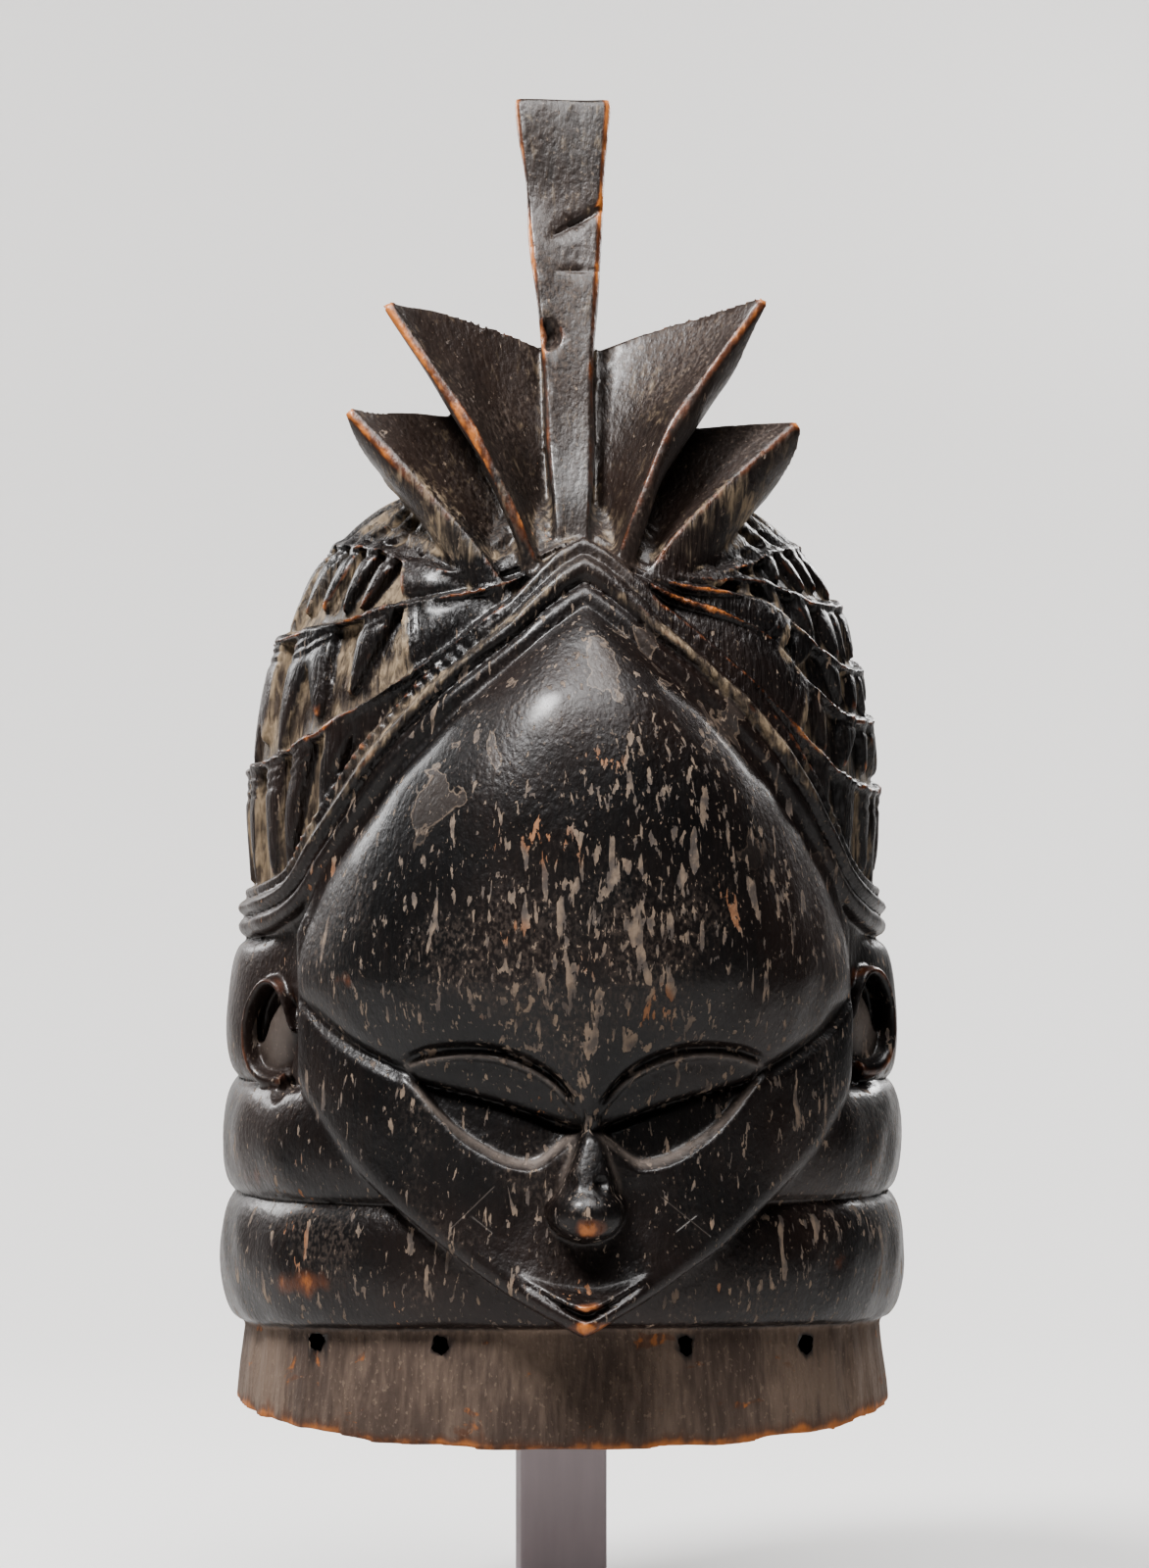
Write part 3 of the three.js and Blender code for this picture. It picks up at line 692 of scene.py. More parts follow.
@dataclass(frozen=True)
class Head:
    """The core of the carving: collar, neck rolls and the haired dome as one closed shell."""

    form: HeadForm
    neck: Neck
    hair: Hair
    ears: tuple["Ear", ...]
    under_band: float = -3.5
    neck_blend: Pair = (-4.0, 3.0)
    columns: int = 860
    wall_rows: int = 236
    dome_rows: int = 200

    def surface(self, angle: Array, z: Array) -> Array:
        """Give points of the whole core at angles and nominal heights."""
        degrees = np.degrees(angle)
        relief = self.hair.relief(degrees, z)
        seam = self.hair.band(np.abs(degrees))
        haired = smooth_step(z, seam - 1.0, seam + 2.0)
        skull = self.form.point(angle, z, blend(self.under_band, relief, haired))
        neck = self.neck.surface(self.form, angle, z)
        low, high = (self.neck.creases[-1].height + step for step in self.neck_blend)
        return lean_over(blend(neck, skull, smooth_step(z, low, high)[:, None]), HEAD_LEAN)

    def build(self, fineness: float) -> Shell:
        """Make the core.

        Args:
            fineness: Share of the full number of columns and rows.

        Returns:
            The closed shell.
        """
        rows = self.wall_rows + self.dome_rows
        start = self.wall_rows / rows

        def place(u: Array, v: Array) -> Array:
            """Go round by u, and by v up the wall and over the dome."""
            angle = (u - 0.5) * 2.0 * math.pi
            rim = self.neck.rim_line(angle)
            wall = blend(rim, self.form.dome_start, np.clip(v / start, 0.0, 1.0))
            climb = np.clip((v - start) / (1.0 - start), 0.0, 1.0)
            rise = self.form.dome_rise * (1.0 - (1.0 - climb) ** 2)
            z = np.where(v < start, wall, self.form.dome_start + rise)
            points = self.surface(angle, z)
            for ear in self.ears:
                points = ear.hollowed(points)
            return points

        return close_up(sheet(round(self.columns * fineness), round(rows * fineness), place))


@dataclass(frozen=True)
class Rise:
    """A line that rises from the middle outwards with a power of the distance."""

    start: float
    gain: float
    power: float

    def __call__(self, far: Array) -> Array:
        """Give the line's height at shares of its reach."""
        return self.start + self.gain * far**self.power


@dataclass(frozen=True)
class FacePlate:
    """The face: a forehead that bulges over lowered lids, a thin nose, and small lips over a pointed chin.

    Its lines are heights over the distance from the middle, and its depths are measured forward from
    the mask's axis.
    """

    form: HeadForm
    half_width: float = 90.5
    reach_x: float = 89.9
    chin: float = 31.0
    temple_low: float = 113.0
    temple_high: float = 130.0
    tip: float = 258.0
    tip_round: float = 3.5
    jaw_power: float = 1.65
    forehead_power: float = 1.87
    swell_power: float = 0.6
    cheek_reach: float = 108.0
    edge_round: float = 4.5
    edge_slope: float = 0.72
    eye_outer: float = 57.5
    eye_corners: Pair = (9.0, 12.0)
    nose_to_cheek: Pair = (6.0, 46.0)
    bevel: float = 3.6
    socket_depths: Pair = (6.0, 7.2)
    undercuts: Pair = (2.6, 5.0)
    undercut_starts: Pair = (-2.2, -4.2)
    lid_depths: Pair = (5.0, 0.4)
    lid_belly: float = 1.7
    lid_rim: float = 2.5
    brow_turn: float = 22.0
    brow_groove: float = 3.8
    groove_height: float = 1.7
    groove_half: float = 2.1
    groove_ends: Pairs = ((2.0, 7.0), (52.0, 58.0))
    mouth_half: float = 20.0
    mouth_rise: Rise = Rise(38.4, 10.6, 1.2)
    mouth_cut: float = 4.6
    mouth_cut_half: float = 1.5
    lip_reach: float = 20.5
    lip_half: float = 18.5
    lip_edge: Rise = Rise(41.2, 7.6, 1.5)
    lip_top: Rise = Rise(46.4, 3.6, 2)
    lip_least: float = 0.9
    shelf_least: float = 1.2
    upper_lip_out: float = 6.4
    lower_lip_out: float = 5.2
    ball_middle: float = 69.7
    ball_radii: Pair = (12.3, 8.8)
    ball_out: Pair = (4.5, 11.5)
    nostril_middle: Pair = (-1.0, 78.8)
    nostrils_apart: float = 4.8
    nostril_radius: float = 2.7
    nostril_depth: float = 2.8
    beside_nose: float = 1.6
    beside_nose_across: Pair = (17.0, 11.0)
    beside_nose_height: Pair = (73.0, 15.0)
    valley_depth: float = 3.6
    valley_reach: float = 9.0
    valley_ridge: float = 1.1
    valley_ends: Pair = (50.0, 61.0)
    corner_fill: float = 2.0
    bridge_fall: float = 0.14
    bridge_ends: Pairs = ((73.5, 76.0), (96.5, 101.0))
    brow: Profile = Profile(
        (
            (0, 97.5), (3, 101.0), (12, 110.5), (24, 116.6), (36, 118.4), (48, 117), (57.5, 114),
            (62, 115.5), (72, 120.6), (81, 127), (89.6, 136),
        )
    )  # fmt: skip
    slit: Profile = Profile(
        ((0, 95.2), (4, 95.5), (14, 99), (27, 103.2), (40, 106.4), (51, 109), (57.5, 113.2))
    )
    lid_low: Profile = Profile(
        (
            (0, 94.6), (4.6, 93.4), (9.7, 90), (14, 86.4), (18, 85.2), (24, 86.2), (30, 88.8), (39, 94.4),
            (46, 101), (52, 107.6), (57.5, 112.6),
        )
    )  # fmt: skip
    cheek_middle: Profile = Profile(
        ((31, 129), (40, 127), (50, 123.5), (60, 121), (75, 119.5), (97, 118), (113, 117), (130, 116))
    )
    forehead_rise: Profile = Profile(
        (
            (97, 16), (120, 19.5), (135, 22.5), (150, 25.5), (171, 28), (186, 28), (204, 25),
            (220, 21), (230, 18), (240, 13), (249, 8), (258, 1),
        )
    )  # fmt: skip
    forehead_edge: Profile = Profile(((140, 6), (175, 1), (258, 1)))
    bridge_half: Profile = Profile(((73, 9.6), (78, 9.0), (86, 6.2), (95, 3.0), (99, 2.2)))
    bridge_out: Profile = Profile(((76, 12), (85, 9), (92, 6), (97, 4), (101, 1.5)))
    bridge_middle: Profile = Profile(((70, 0.0), (78, 0.4), (96, 1.4)))
    skirt_reach: float = 88.0
    skirt_half: float = 96.0
    skirt_grow: float = -20.0
    skirt_inwards: float = 0.965
    columns: int = 300
    rows: int = 360

    def jaw_line(self, x: Array) -> Array:
        """Give the height of the plate's lower edge."""
        share = 1.0 - (1.0 - np.abs(x) / self.half_width) ** (1.0 / self.jaw_power)
        return blend(self.chin, self.temple_low, share)

    def forehead_line(self, x: Array) -> Array:
        """Give the height of the plate's upper edge."""
        far = np.sqrt(x * x + self.tip_round**2) - self.tip_round
        share = 1.0 - (1.0 - far / self.half_width) ** (1.0 / self.forehead_power)
        return blend(self.tip, self.temple_high, share)

    def cheek_depth(self, x: Array, z: Array) -> Array:
        """Give the depth of the cheeks' plain curve."""
        return self.cheek_middle(z) * self.form.front_share(x, self.cheek_reach)

    def forehead_depth(self, x: Array, z: Array) -> Array:
        """Give the depth of the forehead's swell."""
        share = self.form.share(z)
        fallen = np.clip((self.tip - z) / (self.tip - self.temple_high), 0.0, 1.0)
        half = self.half_width * (1.0 - (1.0 - fallen) ** self.forehead_power)
        across = np.clip(np.abs(x) / np.maximum(1.0, half), 0.0, 1.0)
        shell = self.form.front * share * self.form.front_share(x, self.form.half_width * share)
        swell = self.forehead_rise(z) * (1.0 - across**2) ** self.swell_power
        return shell + self.forehead_edge(z) + swell

    def nose_depth(self, x: Array, z: Array) -> Array:
        """Give how far the nose stands out: a flat-fronted bridge with crisp edges over a round ball.

        Args:
            x: Distances across.
            z: Heights.

        Returns:
            The distances in front of the cheeks.
        """
        beside = np.abs(x - self.bridge_middle(z))
        across = np.clip(beside / self.bridge_half(z), 0.0, 1.0)
        flat = np.sqrt(1.0 - across**5) * (1.0 - self.bridge_fall * across**2)
        bridge = self.bridge_out(z) * flat * window(z, *self.bridge_ends)
        wide, tall = self.ball_radii
        roundness = 1.0 - (x / wide) ** 2 - ((z - self.ball_middle) / tall) ** 2
        start, more = self.ball_out
        ball = smooth_step(roundness, 0.0, 0.06) * (start + more * np.sqrt(np.clip(roundness, 0.0, 1.0)))
        apart = np.abs(x - self.nostril_middle[0]) - self.nostrils_apart
        nostrils = bump(np.hypot(apart, (z - self.nostril_middle[1]) * 0.9), 0.0, self.nostril_radius)
        return np.maximum(bridge, ball) - self.nostril_depth * nostrils

    def mouth_line(self, x: Array) -> Array:
        """Give the height of the line between the lips."""
        line = self.mouth_rise(np.abs(x) / self.mouth_half)
        return np.maximum(line, self.jaw_line(x) + self.lip_least)

    def lips(self, x: Array, z: Array) -> Array:
        """Give how far the lips stand out: a lit shelf over a V-shaped lower lip.

        Args:
            x: Distances across.
            z: Heights.

        Returns:
            The distances in front of the cheeks.
        """
        far = np.clip(np.abs(x) / self.lip_half, 0.0, 1.3)
        mouth, jaw = self.mouth_line(x), self.jaw_line(x)
        edge = np.maximum(self.lip_edge(far), mouth + self.lip_least)
        top = np.maximum(self.lip_top(far), edge + self.shelf_least)
        shelf = np.clip((z - edge) / (top - edge), 0.0, 1.0)
        face = np.clip((edge - z) / (edge - mouth), 0.0, 1.0)
        over_edge = self.upper_lip_out * (1.0 - shelf) ** 1.4
        upper = np.where(z > edge, over_edge, self.upper_lip_out * np.sqrt(1.0 - 0.9 * face**2))
        share = np.clip((mouth - z) / np.maximum(mouth - jaw, 0.8), 0.0, 1.0)
        lower = self.lower_lip_out * arch(share) ** 0.6
        out = np.where(z > mouth, upper, lower) - self.mouth_cut * bump(z, mouth, self.mouth_cut_half)
        return out * np.clip(1.0 - np.abs(x) / self.lip_reach, 0.0, 1.0) ** 0.5

    def eye_hollow(self, far: Array, z: Array, opening: Array) -> Array:
        """Give how deep the face is cut under the brow: the socket below the slit, the lid above it.

        Args:
            far: Distances from the middle, to either side.
            z: Heights.
            opening: How far the eye is open, from 0 at its corners to 1.

        Returns:
            The depths under the cheek's curve.
        """
        slit, low, brow = self.slit(far), self.lid_low(far), self.brow(far)
        nearer = 1.0 - smooth_step(far, *self.nose_to_cheek)
        plane = np.clip((z - low) / np.maximum(slit - low, 0.5), 0.0, 1.0)
        ramp = np.clip((z - low + self.bevel * (0.45 + 0.55 * opening)) / self.bevel, 0.0, 1.0)
        undercut_low = blend(*self.undercut_starts, nearer)
        undercut = blend(*self.undercuts, nearer) * smooth_step(z - slit, undercut_low, -0.4)
        socket = (blend(*self.socket_depths, plane) + undercut) * ramp
        lid = np.clip((z - slit) / np.maximum(brow - slit, 0.5), 0.0, 1.0)
        lid_depth = blend(*self.lid_depths, lid**0.85) - self.lid_belly * arch(lid)
        lid_depth = lid_depth - self.lid_rim * bump(z, brow - 1.0, 1.8)
        return blend(socket, lid_depth, smooth_step(z - slit, -0.35, 0.35))

    def lower_face(self, x: Array, z: Array) -> Array:
        """Give the depth below the brow: cheeks, nose, lips, and the hollows under the lids.

        Args:
            x: Distances across.
            z: Heights.

        Returns:
            The depths in front of the mask's axis.
        """
        far = np.abs(x)
        inner, outer = self.eye_corners
        opening = np.sqrt(np.clip(np.minimum(far / inner, (self.eye_outer - far) / outer), 0.0, 1.0))
        beside = self.beside_nose * bump(far, *self.beside_nose_across) * bump(z, *self.beside_nose_height)
        brow, reach = self.brow(far), self.valley_reach
        valley = self.valley_depth * smooth_step(z - (brow - reach), 0.0, reach)
        valley = (valley - self.valley_ridge * bump(z, brow - 5.0, 4.0)) * smooth_step(far, *self.valley_ends)
        closed = self.corner_fill * bump(z, self.slit(far), 3.0) * (1.0 - opening) * (far < inner)
        relief = self.nose_depth(x, z) + self.lips(x, z) - beside - valley - closed
        return self.cheek_depth(x, z) + relief - self.eye_hollow(far, z, opening) * opening

    def depth(self, x: Array, z: Array) -> Array:
        """Give the depth of the whole face plate.

        Args:
            x: Distances across.
            z: Heights.

        Returns:
            The depths in front of the mask's axis.
        """
        far = np.abs(x)
        top = self.forehead_line(x)
        brow = np.minimum(self.brow(far), top - 4.0)
        turn = np.minimum(self.brow_turn, 0.45 * (top - brow))
        share = np.clip((z - brow) / turn, 0.0, 1.0)
        under = self.lower_face(x, np.minimum(z, brow))
        upper = blend(under, self.forehead_depth(x, z), dome(1.0 - share))
        groove = bump(z, brow + self.groove_height, self.groove_half)
        upper = upper - self.brow_groove * groove * window(far, *self.groove_ends)
        depth = np.where(z > brow, upper, self.lower_face(x, z))
        edge = np.clip((z - self.jaw_line(x)) * self.edge_slope / self.edge_round, 0.0, 1.0)
        return depth - self.edge_round * (1.0 - dome(1.0 - edge))

    def build(self, fineness: float) -> Shell:
        """Make the face's sheet, with a skirt round it that runs back into the head.

        Args:
            fineness: Share of the full number of columns and rows.

        Returns:
            The sheet, open only inside the head.
        """

        def place(u: Array, v: Array) -> Array:
            """Go across by u and up by v, with the last step of each way as the skirt."""
            skirt_u = 1.5 / (self.columns * fineness)
            skirt_v = 1.5 / (self.rows * fineness)
            across = (u - skirt_u) / (1.0 - 2.0 * skirt_u)
            up = (v - skirt_v) / (1.0 - 2.0 * skirt_v)
            x = self.reach_x * np.clip(2.0 * across - 1.0, -1.0, 1.0)
            z = blend(self.jaw_line(x), self.forehead_line(x), np.clip(up, 0.0, 1.0))
            skirt = (across < 0.0) | (across > 1.0) | (up < 0.0) | (up > 1.0)
            share = self.form.share(z, self.skirt_grow)
            wall = self.skirt_reach * share * self.form.front_share(x, self.skirt_half * share + 0.1)
            y = np.where(skirt, -wall, -self.depth(x, z))
            inwards = np.where(skirt, self.skirt_inwards, 1.0)
            return lean_over(np.stack([x * inwards, y, z], axis=-1), FACE_LEAN)

        return sheet(round(self.columns * fineness), round(self.rows * fineness), place)


@dataclass(frozen=True)
class Headband:
    """Two cords and a notched edge over the forehead, down to the ears and round the back."""

    form: HeadForm
    hair: Hair
    ground: float = -1.5
    section: Pairs = (
        (-3.6, -8.0), (-3.6, 0.6), (-3.0, 2.1), (-1.7, 3.2), (0.0, 3.5), (1.4, 2.9), (2.4, 1.4),
        (2.9, -0.8), (3.5, 1.2), (4.4, 3.1), (5.8, 3.9), (7.1, 3.4), (8.2, 2.0), (8.9, 0.3),
        (9.6, 0.9), (10.6, 1.6), (11.8, 1.5), (12.7, 0.6), (13.2, -8.0),
    )  # fmt: skip
    strip: Pair = (9.2, 12.9)
    notch_pitch: float = 4.2
    notch_depth: float = 2.1
    notch_shares: Pair = (1.0, 0.35)
    notched_degrees: Pair = (14.0, 60.0)
    notch_fade: float = 2.0
    peak: float = 9.0
    peak_degrees: float = 9.5
    first_degrees: float = 0.4
    sweep_degrees: float = 180.6
    overlap: float = 0.4
    stations: int = 330

    def path(self, degrees: Array, rise: float = 0.0) -> Array:
        """Give points along the band's inner edge, on the head, or a little above it."""
        return self.form.point(np.radians(degrees), self.hair.band(np.abs(degrees)) + rise, self.ground)

    def directions(self, degrees: Array, here: Array) -> tuple[Array, Array, Array]:
        """Give the band's own directions.

        Args:
            degrees: Degrees from the front.
            here: The band's points there.

        Returns:
            The directions along the band, across it and out of the head, one a row.
        """
        along = unit(self.path(degrees + 1.0) - self.path(np.maximum(degrees - 1.0, 0.2)))
        up = self.path(degrees, 2.0) - self.path(degrees, -2.0)
        level = self.form.point(np.radians(degrees + 2.0), here[:, 2], self.ground)
        level -= self.form.point(np.radians(degrees - 2.0), here[:, 2], self.ground)
        outward = unit(np.cross(level, up))
        return along, unit(np.cross(outward, along)), outward

    def half(self, side: int, fineness: float) -> Shell:
        """Sweep the section from the apex to the back on one side, mitred at the apex.

        Args:
            side: -1 or 1.
            fineness: Share of the full number of stations.

        Returns:
            The closed half.
        """
        count = round(self.stations * fineness)
        share = np.linspace(0.0, 1.0, count)
        degrees = self.first_degrees + self.sweep_degrees * (0.6 * share + 0.4 * share**3)
        here = self.path(degrees)
        along, across, outward = self.directions(degrees, here)
        notch = np.clip(np.cos(2.0 * math.pi * travelled(here) / self.notch_pitch), 0.0, 1.0) ** 2
        rise, fall = ((end - self.notch_fade, end + self.notch_fade) for end in self.notched_degrees)
        cut = self.notch_depth * notch * window(degrees, rise, fall) * self.notch_shares[side > 0]
        lift = self.peak * np.clip(1.0 - degrees / self.peak_degrees, 0.0, 1.0)
        first, last = self.section[0][0], self.section[-1][0]
        low, high = self.strip
        rings = []
        for u, v in self.section:
            height = v - cut * (low < u < high)
            spots = here + across * u + outward * height[:, None]
            spots[:, 2] += lift * (u - first) / (last - first)
            behind = (-self.overlap - spots[:, 0]) / np.maximum(along[:, 0], 0.2)
            behind[1:] = np.clip(behind[1:], 0.0, None)
            spots = spots + along * (behind * (degrees < 90.0))[:, None]
            spots[:, 0] *= side
            rings.append(spots)
        sections = lean_over(np.stack(rings, axis=1).reshape(-1, 3), HEAD_LEAN)
        return loft(sections.reshape(count, len(rings), 3), count - 1)

    def build(self, fineness: float) -> list[Shell]:
        """Make the band's two halves."""
        return [self.half(-1, fineness), self.half(1, fineness)]


@dataclass(frozen=True)
class Ear:
    """An ear: a ring of flesh that curls in at its top, round a deep hollow and a tongue, over a blunt lobe.

    Its own frame has x outwards from the face and z up, both as shares of its half sizes where named so,
    and y into the head.
    """

    side: int
    middle: Spot = (97.5, -48.0, 123.0)
    lifts: Pair = (-0.6, 2.6)
    turn: float = 40.0
    half_width: float = 10.6
    half_height: float = 16.4
    rim_depth: float = 4.6
    hollow_depth: float = 5.2
    tongue_out: float = 1.6
    floors: Pair = (1.6, 1.4)
    reach: float = 22.0
    pocket: Oval = Oval(-0.92, 0.42, 0.3, 0.42)
    gap: Oval = Oval(-0.74, -1.10, 0.44, 0.34)
    gap_depth: float = 6.5
    stations: int = 96
    round_points: int = 20
    path: Pairs = (
        (-0.86, 0.02), (-0.70, 0.20), (-0.60, 0.42), (-0.46, 0.68), (-0.16, 0.95), (0.25, 0.99),
        (0.62, 0.80), (0.90, 0.44), (1.0, 0.0), (0.94, -0.42), (0.70, -0.74), (0.34, -0.92),
        (-0.05, -0.98), (-0.50, -0.97),
    )  # fmt: skip
    thickness: Profile = Profile(
        ((0, 0.9), (0.1, 1.3), (0.25, 1.9), (0.38, 2.1), (0.55, 1.5), (0.72, 1.7), (0.86, 2.8), (1, 3.2))
    )
    tongue_edge: Profile = Profile(
        ((-0.5, 0.75), (-0.3, 0.62), (-0.1, 0.46), (0.17, 0.22), (0.4, -0.06), (0.63, -0.24), (1.0, -0.34))
    )

    def frame_of(self) -> tuple[Array, Array]:
        """Give the ear's axes as rows, and its middle."""
        angle = math.radians(self.side * self.turn)
        cosine, sine = math.cos(angle), math.sin(angle)
        axes = np.array([[cosine, sine, 0.0], [-sine, cosine, 0.0], [0.0, 0.0, 1.0]])
        axes[0] *= self.side
        middle = np.array(self.middle) * np.array([self.side, 1.0, 1.0])
        middle[2] += self.lifts[self.side > 0]
        return axes, middle

    def own(self, points: Array) -> tuple[Array, Array, Array]:
        """Give points in the ear's own frame: x and z as shares of its half sizes, and the depth."""
        axes, middle = self.frame_of()
        own = (points - middle) @ axes.T
        return own[:, 0] / self.half_width, own[:, 2] / self.half_height, own[:, 1]

    def hollowed(self, points: Array) -> Array:
        """Press the head's surface into the ear's hollow, tongue and recesses.

        Args:
            points: Points of the head's surface.

        Returns:
            The points, with those inside the ear set to its floor.
        """
        inwards = self.frame_of()[0][1]
        x, z, deep = self.own(points)
        near = np.abs(deep) < self.reach
        inside = (1.0 - smooth_step(np.hypot(x, z), 0.92, 1.12)) * near
        hollow = smooth_step(z - self.tongue_edge(x), 0.0, 0.16) * smooth_step(x, -0.5, -0.34)
        pocket = bump(self.pocket.apart(x, z), 0.0, 1.15)
        tongue = self.tongue_out * bump(x, -0.15 - 0.25 * (z - 0.2), 0.8) * (1.0 - hollow)
        floor = self.floors[0] + self.floors[1] * smooth_step(-z, -0.2, 0.8) - tongue
        floor = floor + self.hollow_depth * np.maximum(hollow, 0.8 * pocket)
        settled = points + ((floor - deep) * inside)[:, None] * inwards
        gap = self.gap_depth * bump(self.gap.apart(x, z), 0.0, 1.0) * near
        return settled + gap[:, None] * inwards

    def build(self) -> Shell:
        """Sweep the ring from its curled-in end over the top and round to the lobe."""
        axes, middle = self.frame_of()
        share = np.linspace(0.0, 1.0, self.stations)
        spots = follow(self.path, share)
        x, z = spots[:, 0] * self.half_width, spots[:, 1] * self.half_height
        way = unit(np.stack([np.gradient(x), np.gradient(z)], axis=-1))
        thick = self.thickness(share)
        rings = []
        for angle in np.linspace(0.0, 2.0 * math.pi, self.round_points, endpoint=False):
            out = thick * math.cos(angle)
            deep = self.rim_depth * math.sin(angle) * blend(0.7, 1.0, smooth_step(share, 0.0, 0.2))
            own = np.stack([x - way[:, 1] * out, deep + 0.8, z + way[:, 0] * out], axis=-1)
            rings.append(own @ axes + middle)
        return loft(np.stack(rings, axis=1), self.stations)


@dataclass(frozen=True)
class BladeLevel:
    """One level of the crest's blade."""

    z: float
    front: float
    depth: float
    half_width: float


@dataclass(frozen=True)
class WingLines:
    """A wing's lines from root to tip, with x outwards: its front ridge and the grooves beside it."""

    side: int
    ridge: tuple[Spot, ...]
    inner: tuple[Spot, ...]
    outer: tuple[Spot, ...]
    flank: float
    crown: float

    def read(self, path: Sequence[Spot], t: Array) -> Array:
        """Read one of the lines at shares of its length, on the wing's own side of the mask."""
        spots = follow(path, t)
        spots[:, 0] *= self.side
        return spots


@dataclass(frozen=True)
class Crest:
    """A tall blade between two pairs of pointed wings with hollow inner faces."""

    shift: float = -1.9
    edge: float = 1.5
    back_taper: float = 0.85
    face_hollow: float = 0.7
    turn: float = 0.14
    turned_depth: float = 27.0
    ridge_depths: Pair = (66.0, 9.0)
    groove_depths: Pair = (60.0, 15.0)
    ridge_widths: Pair = (1.5, 1.3)
    hollow: float = 5.5
    foot: float = 262.0
    root_half: float = 10.0
    ridge_half: float = 3.0
    ridge_wear: Pair = (0.12, 0.85)
    edge_half: float = 2.4
    edge_wear: Pair = (0.3, 1.0)
    inner_shares: tuple[float, ...] = (0.08, 0.2, 0.35, 0.5, 0.65, 0.8, 0.92)
    outer_shares: tuple[float, ...] = (0.8, 0.6, 0.4, 0.2)
    blade_rows: int = 110
    wing_rows: int = 80
    levels: tuple[BladeLevel, ...] = (
        BladeLevel(255, -80, 108, 5.2),
        BladeLevel(287, -76, 96, 6.4),
        BladeLevel(310, -66, 70, 7.4),
        BladeLevel(343, -56, 44, 8.8),
        BladeLevel(390, -41, 31, 12.5),
        BladeLevel(430, -31, 27, 15.9),
    )
    wings: tuple[WingLines, ...] = (
        WingLines(
            -1,
            ((9, -82, 256), (13, -84, 268), (22.5, -83, 291), (35.5, -77, 317), (61.4, -65, 357)),
            ((4, -70, 254), (5, -70, 266), (7, -56, 305), (8, -42, 345.5)),
            ((12, -78, 254), (16, -80, 266), (21.5, -73, 288), (30.5, -64, 310), (38.5, -55, 326)),
            1.5,
            3.2,
        ),
        WingLines(
            1,
            ((8, -82, 256), (11, -84, 268), (20, -83, 292), (31, -77, 317), (61.7, -65, 359.6)),
            ((1, -70, 254), (2, -70, 266), (4, -56, 305), (5, -42, 344)),
            ((11, -78, 254), (14, -80, 266), (20.5, -73, 288), (30, -64, 306), (38.5, -55, 318)),
            3.0,
            1.2,
        ),
        WingLines(
            -1,
            ((15, -80, 250), (22, -84, 260), (35, -81, 279), (53, -72, 299.5), (73.4, -62, 322.8)),
            ((11, -74, 252), (14, -74, 262), (19, -68, 284), (28, -57, 306), (33, -48, 322)),
            ((23, -76, 246), (28, -80, 256), (40, -70, 273), (50, -59, 288.5), (57, -50, 297)),
            3.0,
            0.8,
        ),
        WingLines(
            1,
            ((12, -80, 250), (18, -84, 260), (30.5, -81, 279.5), (52, -72, 301), (72.8, -62, 319.5)),
            ((9, -74, 252), (12, -74, 262), (18, -68, 284), (28, -57, 306), (33, -48, 319)),
            ((21, -76, 244), (26, -80, 254), (38, -70, 267), (50, -59, 281), (58, -50, 291)),
            5.0,
            0.8,
        ),
    )

    def curve(self, size: str) -> Profile:
        """Give one of the blade's sizes over its height."""
        return Profile(tuple((level.z, getattr(level, size)) for level in self.levels))

    def blade(self) -> Shell:
        """Skin the blade from its levels, its front face a little hollow and turned to the mask's right."""
        heights = np.linspace(self.levels[0].z, self.levels[-1].z + 0.4, self.blade_rows)
        front, deep, half = (self.curve(size)(heights) for size in ("front", "depth", "half_width"))
        rounded = 0.5 * smooth_step(heights, heights[-1] - 1.5, heights[-1]) ** 2
        half, front, deep = half - rounded, front + rounded, deep - 2.0 * rounded
        narrow, level = half * self.back_taper, 0.0 * half
        corners = [(-half + self.edge, level), (-half * 0.45, level + self.face_hollow)]
        corners += [(half * 0.45, level + self.face_hollow), (half - self.edge, level)]
        corners += [(half, level + self.edge), (narrow, deep - self.edge), (narrow - self.edge, deep)]
        corners += [(-narrow + self.edge, deep), (-narrow, deep - self.edge), (-half, level + self.edge)]
        sections = []
        for dx, dy in corners:
            turned = self.turn * np.minimum(dy, self.turned_depth)
            sections.append(np.stack([self.shift + dx + turned, front + dy, heights], axis=-1))
        return loft(np.stack(sections, axis=1), len(heights) - 1)

    def wing(self, lines: WingLines) -> Shell:
        """Skin one wing, hollow on its inner side and full on its outer side.

        Args:
            lines: The wing's ridge and grooves.

        Returns:
            The closed shell.
        """
        t = np.linspace(0.0, 1.0, self.wing_rows)
        front, near, far = (lines.read(path, t) for path in (lines.ridge, lines.inner, lines.outer))

        def back(points: Array, depths: Pair) -> Array:
            """Move a line back into the crest by its depth at the root and at the tip."""
            moved = points.copy()
            moved[:, 1] += blend(depths[0], depths[1], t)
            moved[:, 2] += t
            return moved

